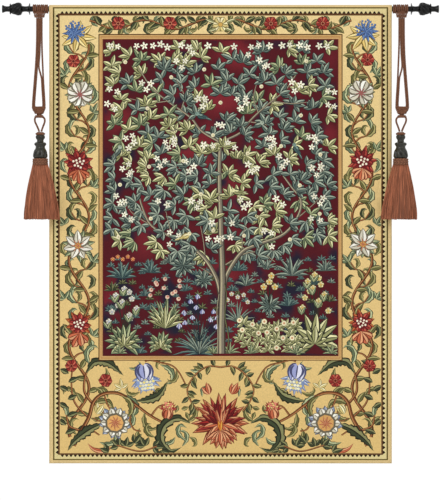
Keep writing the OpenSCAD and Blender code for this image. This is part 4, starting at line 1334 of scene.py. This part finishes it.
# ---- Cords and tassels: routes beside each hitch's middle, in millimetres ----
OUTER_TURN = (
    (6.3, -9, -19), (6.3, -9.6, -40), (6.5, -10.6, -65), (7.2, -12, -90), (8.6, -14, -115),
    (10.4, -16, -140), (12, -18, -162), (13.4, -20, -182), (13.8, -21, -194), (12.4, -21, -200),
    (8.6, -21, -204), (2, -21, -205), (-4.6, -21, -204), (-8.4, -21, -200), (-9.8, -21, -194),
    (-9.4, -20, -182), (-8, -18, -162), (-6.6, -16, -140), (-5.4, -14, -115), (-4.2, -12, -90),
    (-3.5, -10.6, -65), (-3.3, -9.6, -40), (-3.3, -9, -19))
INNER_TURN = (
    (3.1, -9, -19), (3.1, -9.6, -40), (3.3, -10.6, -65), (4, -12, -90), (5.4, -14, -115),
    (7.2, -16, -140), (8.8, -18, -162), (10.2, -20, -182), (10.5, -21, -193), (9, -21, -198),
    (6, -21, -200.8), (2, -21, -201.6), (-2, -21, -200.8), (-5, -21, -198), (-6.5, -21, -193),
    (-6.2, -20, -182), (-4.8, -18, -162), (-3.4, -16, -140), (-1.4, -15, -131), (2.2, -14, -115),
    (0.8, -12, -90), (0.1, -10.6, -65), (-0.1, -9.6, -40), (-0.1, -9, -19))
OUTER_LEG = (
    (7.9, -21, -215.4), (9.4, -21, -217.6), (9.9, -21, -221), (8.9, -21, -226), (5.6, -21, -233),
    (2.6, -21, -240), (1.1, -21, -244.4))
INNER_LEG = (
    (-5.9, -21, -215.6), (-8.6, -21, -217.6), (-9.9, -21, -221), (-9.5, -21, -226), (-6.9, -21, -233),
    (-4.4, -21, -240), (-3.1, -21, -244.4))
HITCH_X, TASSEL_X, TASSEL_Y = 357.5, 356.5, -21.0
# Heights of the knot, the rosette, the head's foot and the skirt's top
KNOT_Z, ROSETTE_Z, HEAD_LOW, SKIRT_Z = -211.0, -251.0, -297.4, -310.44
LOOP_D, LEG_D, WRAP_D = 3.9, 4.1, 3.7


def sided(points, hand, x=0.0, y=0.0, z=0.0):
    """Points drawn for the right-hand side, moved to their place and mirrored to the other side."""
    p = np.array(points, float) + (x, y, z)
    p[:, 0] *= hand
    return p


class HANGING_OT_cords(bpy.types.Operator):
    """Lay the upper loops and the tassels' own loops"""
    bl_idname = "hanging.cords"
    bl_label = "Loops"

    def execute(self, context):
        for side, hand in SIDES:
            for name, route, thick, body, node in (
                    ("outer_turn", OUTER_TURN, LOOP_D, "loop", "upper_loop"),
                    ("inner_turn", INNER_TURN, LOOP_D, "loop", "upper_loop"),
                    ("outer_leg", OUTER_LEG, LEG_D, "tassel", "lower_loop"),
                    ("inner_leg", INNER_LEG, LEG_D, "tassel", "lower_loop")):
                path = sided(route, hand, HITCH_X)
                points, faces, crease = plied(path, thick, sizes().ply_pitch)
                line = evenly(path, 2.0)
                cord = piece(f"{side}_{name}", points, faces, "Cord", f"{side}_{body}", "cord",
                             f"{side}_{node}", marks={"crease": crease})
                long = float(np.linalg.norm(np.diff(line, axis=0), axis=1).sum())
        return {"FINISHED"}


def stadium(x, y, z, wide, deep):
    """A closed flat turn round two strands, that reaches wide to each side and deep to front and back."""
    a = np.linspace(0, 2 * np.pi, 17)[:-1]
    return np.stack([x + wide * np.sign(np.cos(a)) * np.abs(np.cos(a)) ** 0.6, y + deep * np.sin(a),
                     z + 0.3 * np.sin(2 * a)], 1)


def helix(radius, low, high, turns, per=14):
    """A route that winds about X from low to high."""
    t = np.linspace(0, 1, int(turns * per) + 1)
    a = 2 * np.pi * turns * t
    return np.stack([low + (high - low) * t, radius * np.cos(a), radius * np.sin(a)], 1)


class HANGING_OT_knots(bpy.types.Operator):
    """Wind the hitches round the rod and tie the joining knots"""
    bl_idname = "hanging.knots"
    bl_label = "Hitches and Knots"

    def execute(self, context):
        pitch = sizes().ply_pitch
        for side, hand in SIDES:
            parts = []
            for k in range(8):
                x = -13.6 + 3.6 * k + 0.5 * (k // 2)
                r = 7.35 + 0.25 * ((k // 2) % 2)
                a = np.linspace(0, 2 * np.pi, 15)[:-1]
                turn = np.stack([x + 0.4 * np.sin(a), r * np.cos(a), r * np.sin(a)], 1)
                parts.append(plied(turn, WRAP_D, pitch, closed=True, step=1.2))
            for x, y in ((6.3, -9), (3.1, -9), (-0.1, -9), (-3.3, -9)):
                parts.append(plied([(x, y, -19.4), (x, y - 0.4, -14), (x, y, -9), (x, y + 1.4, -5)],
                                   3.1, pitch))
            for z, reach in ((-9.2, 9.6), (-12.8, 9.2), (-16.2, 8.4)):
                parts.append(plied([(-reach + 1.4, -5.4, z + 1), (-reach + 1.4, -8.6, z),
                                    (-reach + 3.6, -11.2, z), (1.6, -12.0, z - 0.3), (reach - 0.6, -11.2, z),
                                    (reach + 1.6, -8.6, z), (reach + 1.6, -5.4, z + 1)], 3.5, pitch))
            points, faces, crease = merged(parts)
            piece(f"{side}_hitch_wraps", sided(points, hand, HITCH_X), faces, "Cord", f"{side}_hitch", "cord",
                  f"{side}_hitch", marks={"crease": crease})
            wraps = [plied(stadium(x, TASSEL_Y, z, wide, deep), WRAP_D, pitch, closed=True, step=1.2)
                     for x, z, wide, deep in ((2, -196.2, 12.6, 2.4), (2, -199.4, 11.8, 2.4),
                                              (2, -202.4, 10.6, 2.6), (1.5, -205.2, 8.8, 3.4),
                                              (1.5, -207.7, 7.4, 6.2))]
            points, faces, crease = merged(wraps)
            piece(f"{side}_loop_wraps", sided(points, hand, HITCH_X), faces, "Cord", f"{side}_loop", "cord",
                  f"{side}_upper_loop", marks={"crease": crease})
            turns = [plied(stadium(0, 0, z, wide, 2.4), 3.4, pitch, closed=True, step=1.2)
                     for z, wide in ((-2.3, 6.8), (-4.4, 8.4))]
            turns += [plied(helix(2.0, -3.8, 3.8, 2.5), 3.3, pitch),
                      plied([(-4, -1.6, 1.6), (-2, -2.6, -1.8), (0, -2.9, 1.4), (2, -2.6, -1.8),
                             (4, -1.6, 1.6)], 3.0, pitch)]
            points, faces, crease = merged(turns)
            piece(f"{side}_knot_turns", sided(points, hand, HITCH_X + 1, TASSEL_Y, KNOT_Z), faces, "Cord",
                  f"{side}_tassel", "cord", f"{side}_joining_knot", marks={"crease": crease})
        return {"FINISHED"}


def ring_route(radius, height):
    """Twelve points of a level ring about Z."""
    return [(radius * math.cos(a), radius * math.sin(a), height) for a in np.linspace(0, 2 * np.pi, 13)[:-1]]


# The knob's profile as shares of the height HEAD_H: of the widest radius HEAD_R, then of its ring's RING_R
HEAD_R, RING_R, HEAD_H = 14.8, 12.0, 46.34
HEAD_FOOT = ((0.8, 0), (0.96, 0.06), (1, 0.14), (0.97, 0.22), (0.87, 0.32), (0.7, 0.41), (0.63, 0.46),
             (0.64, 0.52))
HEAD_CROWN = ((0.9, 0.56), (1, 0.61), (0.9, 0.665), (0.6, 0.71), (0.54, 0.77), (0.62, 0.82), (0.75, 0.87),
              (0.75, 0.95), (0.64, 1))
# Height of one row of the braid, and the length of the skirt below it
BRAID_ROW, SKIRT_LONG = 4.4, 108.4


def skirt_fill(share):
    """The skirt's section at a share of its length: width, depth and lean."""
    return 32 + 40 * (1 - (1 - share) ** 1.5), 24 + 10 * (1 - (1 - share) ** 2.4), -3 * share


class HANGING_OT_tassels(bpy.types.Operator):
    """Make the carved heads, cord rosettes, braids and fringed skirts"""
    bl_idname = "hanging.tassels"
    bl_label = "Tassels"

    def execute(self, context):
        s = sizes()
        g = fringe_growth()
        lobes = s.gadroons

        def carved(angle, height, radius):
            low = math.exp(-((height - 8) / 7.5) ** 2)
            crown = math.exp(-((height - 41) / 3.5) ** 2)
            ring = math.exp(-((height - 28) / 2.4) ** 2)
            twist = 0.16 * (height - 8)
            groove = np.abs(np.sin(lobes / 2 * (angle + twist / 6)))
            bead = np.abs(np.cos(lobes * angle))
            cut = 0.24 * low * (1 - groove) ** 1.4 + (0.16 * crown + 0.13 * ring) * (1 - bead)
            # the second value is painted shade: darker in the cut grooves and between the beads, a little
            # lighter on the uncut surface
            return radius * (1 - cut), 1.15 - 3.6 * cut

        def braided(angle, height, radius):
            rows = height / BRAID_ROW
            lean = 1 if int(min(2.99, max(0, rows))) % 2 else -1
            strand = np.cos(14 * angle + lean * 2 * np.pi * rows * 0.9)
            seam = abs(math.cos(math.pi * rows)) ** 6
            rise = 0.5 + 0.5 * strand
            # the second value is painted shade: darker between the strands and at the seams between rows
            return radius * (0.93 + 0.07 * rise * (1 - 0.8 * seam)), 0.55 + 0.6 * rise * (1 - 0.6 * seam)

        head = [(a * HEAD_R, b * HEAD_H) for a, b in HEAD_FOOT]
        head += [(a * RING_R, b * HEAD_H) for a, b in HEAD_CROWN]
        for side, hand in SIDES:
            place = (TASSEL_X, TASSEL_Y)
            body = f"{side}_tassel"
            points, faces, crease = turned(evenly(head, 0.7), 120, carved)
            piece(f"{side}_head_carved", sided(points, hand, *place, HEAD_LOW), faces, "Carved", body,
                  "carved_head", f"{side}_tassel_head", marks={"crease": crease})
            coils = [plied(ring_route(r, z), thick, s.ply_pitch, closed=True, step=1.1)
                     for r, z, thick in ((7.7, 2.2, 4.2), (5.4, 4.2, 3.4), (2.2, 4.0, 3.6), (4.6, 1.9, 3.6))]
            points, faces, crease = merged(coils)
            piece(f"{side}_rosette_coils", sided(points, hand, *place, ROSETTE_Z), faces, "Cord", body,
                  "cord", f"{side}_tassel_rosette", marks={"crease": crease})
            band = [(15.2, 0)] + [(15.5, z) for z in np.linspace(0.4, 12.6, 30)] + [(15.1, 12.95)]
            rim = plied(ring_route(15.0, 0.9), 1.5, 4, closed=True, step=1.2)
            points, faces, crease = merged([turned(band, 112, braided), rim])
            piece(f"{side}_braid_band", sided(points, hand, *place, SKIRT_Z), faces, "Cord", body, "fringe",
                  f"{side}_skirt_braid", marks={"crease": crease})
            rings, high, around = [], 24, 72
            for share in np.linspace(0, 0.985, high):
                wide, deep, lean = skirt_fill(share)
                a = np.linspace(0, 2 * np.pi, around, endpoint=False)
                grow = 0.44 * (1 + 0.012 * np.sin(24 * a))
                rings.append(np.stack([wide * grow * np.cos(a) + lean, deep * grow * np.sin(a),
                                       np.full(around, -108.5 * share)], 1))
            points = np.vstack(rings + [[[0, 0, 0]], [[-2, 0, -104]]])
            count = around * high
            faces = quads(high, around) + [(count, (k + 1) % around, k) for k in range(around)]
            faces += [(count + 1, count - around + k, count - around + (k + 1) % around)
                      for k in range(around)]
            # the inner fill is painted darker (0.6 of the fringe's colour): painted shade inside the skirt
            piece(f"{side}_skirt_fill", sided(points, hand, *place, SKIRT_Z), faces, "Fringe", body, "fringe",
                  f"{side}_skirt", marks={"shade": np.full(len(points), 0.6)})
            base = bpy.data.meshes.new(f"{side}_skirt_line")
            row = g.grow(f"{side}_skirt_strands", base, "Fringe", {
                "Strands": s.strands, "Seed": s.seed + (hand > 0), "Top Width": 31 * MM, "Top Depth": 23 * MM,
                "Low Width": 72.4 * MM, "Low Depth": 32.2 * MM, "Length": SKIRT_LONG * MM,
                "Lean": -3 * hand * MM, "Thickness": s.strand * MM,
                "Hang Point": (hand * TASSEL_X * MM, TASSEL_Y * MM, SKIRT_Z * MM)})
            own(row, "Fringe", body, "fringe", f"{side}_skirt")
        return {"FINISHED"}


class HANGING_OT_ironwork(bpy.types.Operator):
    """Turn the finials and give the rod and its hidden fittings their finish"""
    bl_idname = "hanging.ironwork"
    bl_label = "Rod and Finials"

    def execute(self, context):
        flutes = sizes().flutes

        def fluted(angle, height, radius):
            share = min(1, max(0, height / 23))
            deep = 0.2 * math.sin(math.pi * share) ** 0.7
            groove = np.abs(np.cos(flutes / 2 * (angle + 1.9 * share)))
            cut = deep * (1 - groove) ** 1.5
            return radius * (1 - cut), np.ones(len(angle))

        # Each turned part: how far out it starts, its radii and heights, what carves it and its body
        r = 13.0
        stacks = {
            "collar": (378.05, [(4.0, 0), (11.2, 0), (11.5, 0.5), (11.4, 1.1), (10.0, 1.6), (8.2, 2.3),
                                (6.4, 3.1), (6.2, 3.45)], None, "collar"),
            "neck": (381.5, [(6.2, 0.05), (5.6, 2.1), (5.35, 5.7), (5.7, 9.5), (6.2, 11.3)], None, "finial"),
            "bulb": (392.9, [(6.2, 0.05), (0.72 * r, 1.5), (0.92 * r, 3.4), (r, 6), (0.99 * r, 9.2),
                             (0.93 * r, 13), (0.83 * r, 17), (0.72 * r, 20.7), (0.64 * r, 22.95)], fluted,
                     "finial"),
            "ring": (415.9, [(8.4, 0.03), (10.2, 0.25), (10.75, 1.25), (10.2, 2.25), (8.4, 2.47)], None,
                     "finial"),
            "flare": (418.44, [(6.2, 0), (5.6, 1.9), (5.45, 6), (5.9, 9), (7.0, 11.7), (7.75, 13.6),
                               (7.3, 14.95)], None, "finial"),
        }
        for side, hand in SIDES:
            for name, (start, profile, swell, body) in stacks.items():
                points, faces, _ = turned(evenly(profile, 0.45), 96 if swell else 56, swell)
                along = np.stack([points[:, 2] + start, points[:, 1], points[:, 0]], 1)
                piece(f"{side}_{name}_turned", sided(along, hand), faces, "Iron", f"{side}_{body}", "iron",
                      f"{side}_finial_{name}")
            for node in (f"{side}_end_insert", f"{side}_finial_stud"):
                self.coat(node, "Iron")
            self.coat(f"{side}_tassel_core", "Core")
        self.coat("hanging_rod", "Iron")
        return {"FINISHED"}

    @staticmethod
    def coat(node, finish):
        """Give a part of the frame one of the finishes."""
        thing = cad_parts[node]
        for i in range(len(thing.material_slots)):
            thing.material_slots[i].material = finishes()[finish]


# In metres: where the camera stands, and the floor's height; and the camera's focal length in millimetres
EYE, FLOOR_Z, FOCAL = (0, -6, -0.4785), -1.3, 217.6


class HANGING_OT_stage(bpy.types.Operator):
    """Set the floor, the soft lights and the camera"""
    bl_idname = "hanging.stage"
    bl_label = "Stage"

    def execute(self, context):
        scene = context.scene
        lens = bpy.data.cameras.new("Front")
        lens.lens, lens.sensor_width, lens.clip_end = FOCAL, 36, 50
        camera = bpy.data.objects.new("Front", lens)
        camera.location = EYE
        camera.rotation_euler = (math.radians(90), 0, 0)
        scene.collection.objects.link(camera)
        scene.camera = camera
        floor = bpy.data.meshes.new("Floor")
        floor.from_pydata([(x, y, FLOOR_Z) for x, y in ((-2.5, -2.5), (2.5, -2.5), (2.5, 1.6), (-2.5, 1.6))],
                          [], [(0, 1, 2, 3)])
        floor.materials.append(finishes()["Floor"])
        ground = bpy.data.objects.new("Floor", floor)
        scene.collection.objects.link(ground)
        for name, place, aim, width, power in (("Key", (-1.9, -3.0, 1.5), (0, 0, -0.4), 2.2, 44),
                                               ("Fill", (2.3, -2.8, 0.6), (0, 0, -0.5), 2.6, 20),
                                               ("Back", (0.6, 2.6, 1.2), (0, 0, -0.4), 2.0, 14)):
            light = bpy.data.lights.new(name, "AREA")
            light.size, light.energy = width, power
            lamp = bpy.data.objects.new(name, light)
            lamp.location = place
            lamp.rotation_euler = (Vector(aim) - Vector(place)).to_track_quat("-Z", "Y").to_euler()
            scene.collection.objects.link(lamp)
        world = bpy.data.worlds.new("Studio")
        world.use_nodes = True
        tree = world.node_tree
        sky = tree.nodes["Background"]
        sky.inputs["Color"].default_value = (1, 1, 1, 1)
        path = put(tree.nodes, "ShaderNodeLightPath", -600)
        glow = math_node(tree, "ADD", math_node(tree, "MULTIPLY", path.outputs["Is Camera Ray"], 0.35), 0.68)
        join(tree, glow, sky.inputs["Strength"])
        scene.world = world
        scene.view_settings.view_transform = "Standard"
        return {"FINISHED"}


class HANGING_PT_panel(bpy.types.Panel):
    """Makes the hanging piece by piece"""
    bl_label = "Wall Hanging"
    bl_idname = "HANGING_PT_panel"
    bl_space_type = "VIEW_3D"
    bl_region_type = "UI"
    bl_category = "Hanging"

    def draw(self, context):
        for operator in OPERATORS:
            self.layout.operator(operator.bl_idname)
        for group_name in ("hanging_sizes", "hanging_colours"):
            owner = getattr(context.scene, group_name)
            column = self.layout.column()
            for key in owner.bl_rna.properties.keys():
                if key not in ("rna_type", "name"):
                    column.prop(owner, key)


OPERATORS = (HANGING_OT_stage, HANGING_OT_cords, HANGING_OT_panel, HANGING_OT_backing, HANGING_OT_stitches,
             HANGING_OT_knots, HANGING_OT_tassels, HANGING_OT_ironwork)
CLASSES = (HANGING_PG_sizes, HANGING_PG_colours) + OPERATORS + (HANGING_PT_panel,)


def register():
    for made in CLASSES:
        bpy.utils.register_class(made)
    bpy.types.Scene.hanging_sizes = bpy.props.PointerProperty(type=HANGING_PG_sizes)
    bpy.types.Scene.hanging_colours = bpy.props.PointerProperty(type=HANGING_PG_colours)


def unregister():
    del bpy.types.Scene.hanging_sizes, bpy.types.Scene.hanging_colours
    for made in reversed(CLASSES):
        bpy.utils.unregister_class(made)


def main():
    """Make the whole hanging in order."""
    register()
    ops = bpy.ops.hanging
    for make in (ops.stage, ops.cords, ops.panel, ops.backing, ops.stitches, ops.knots, ops.tassels,
                 ops.ironwork):
        make()


if __name__ == "__main__":
    main()
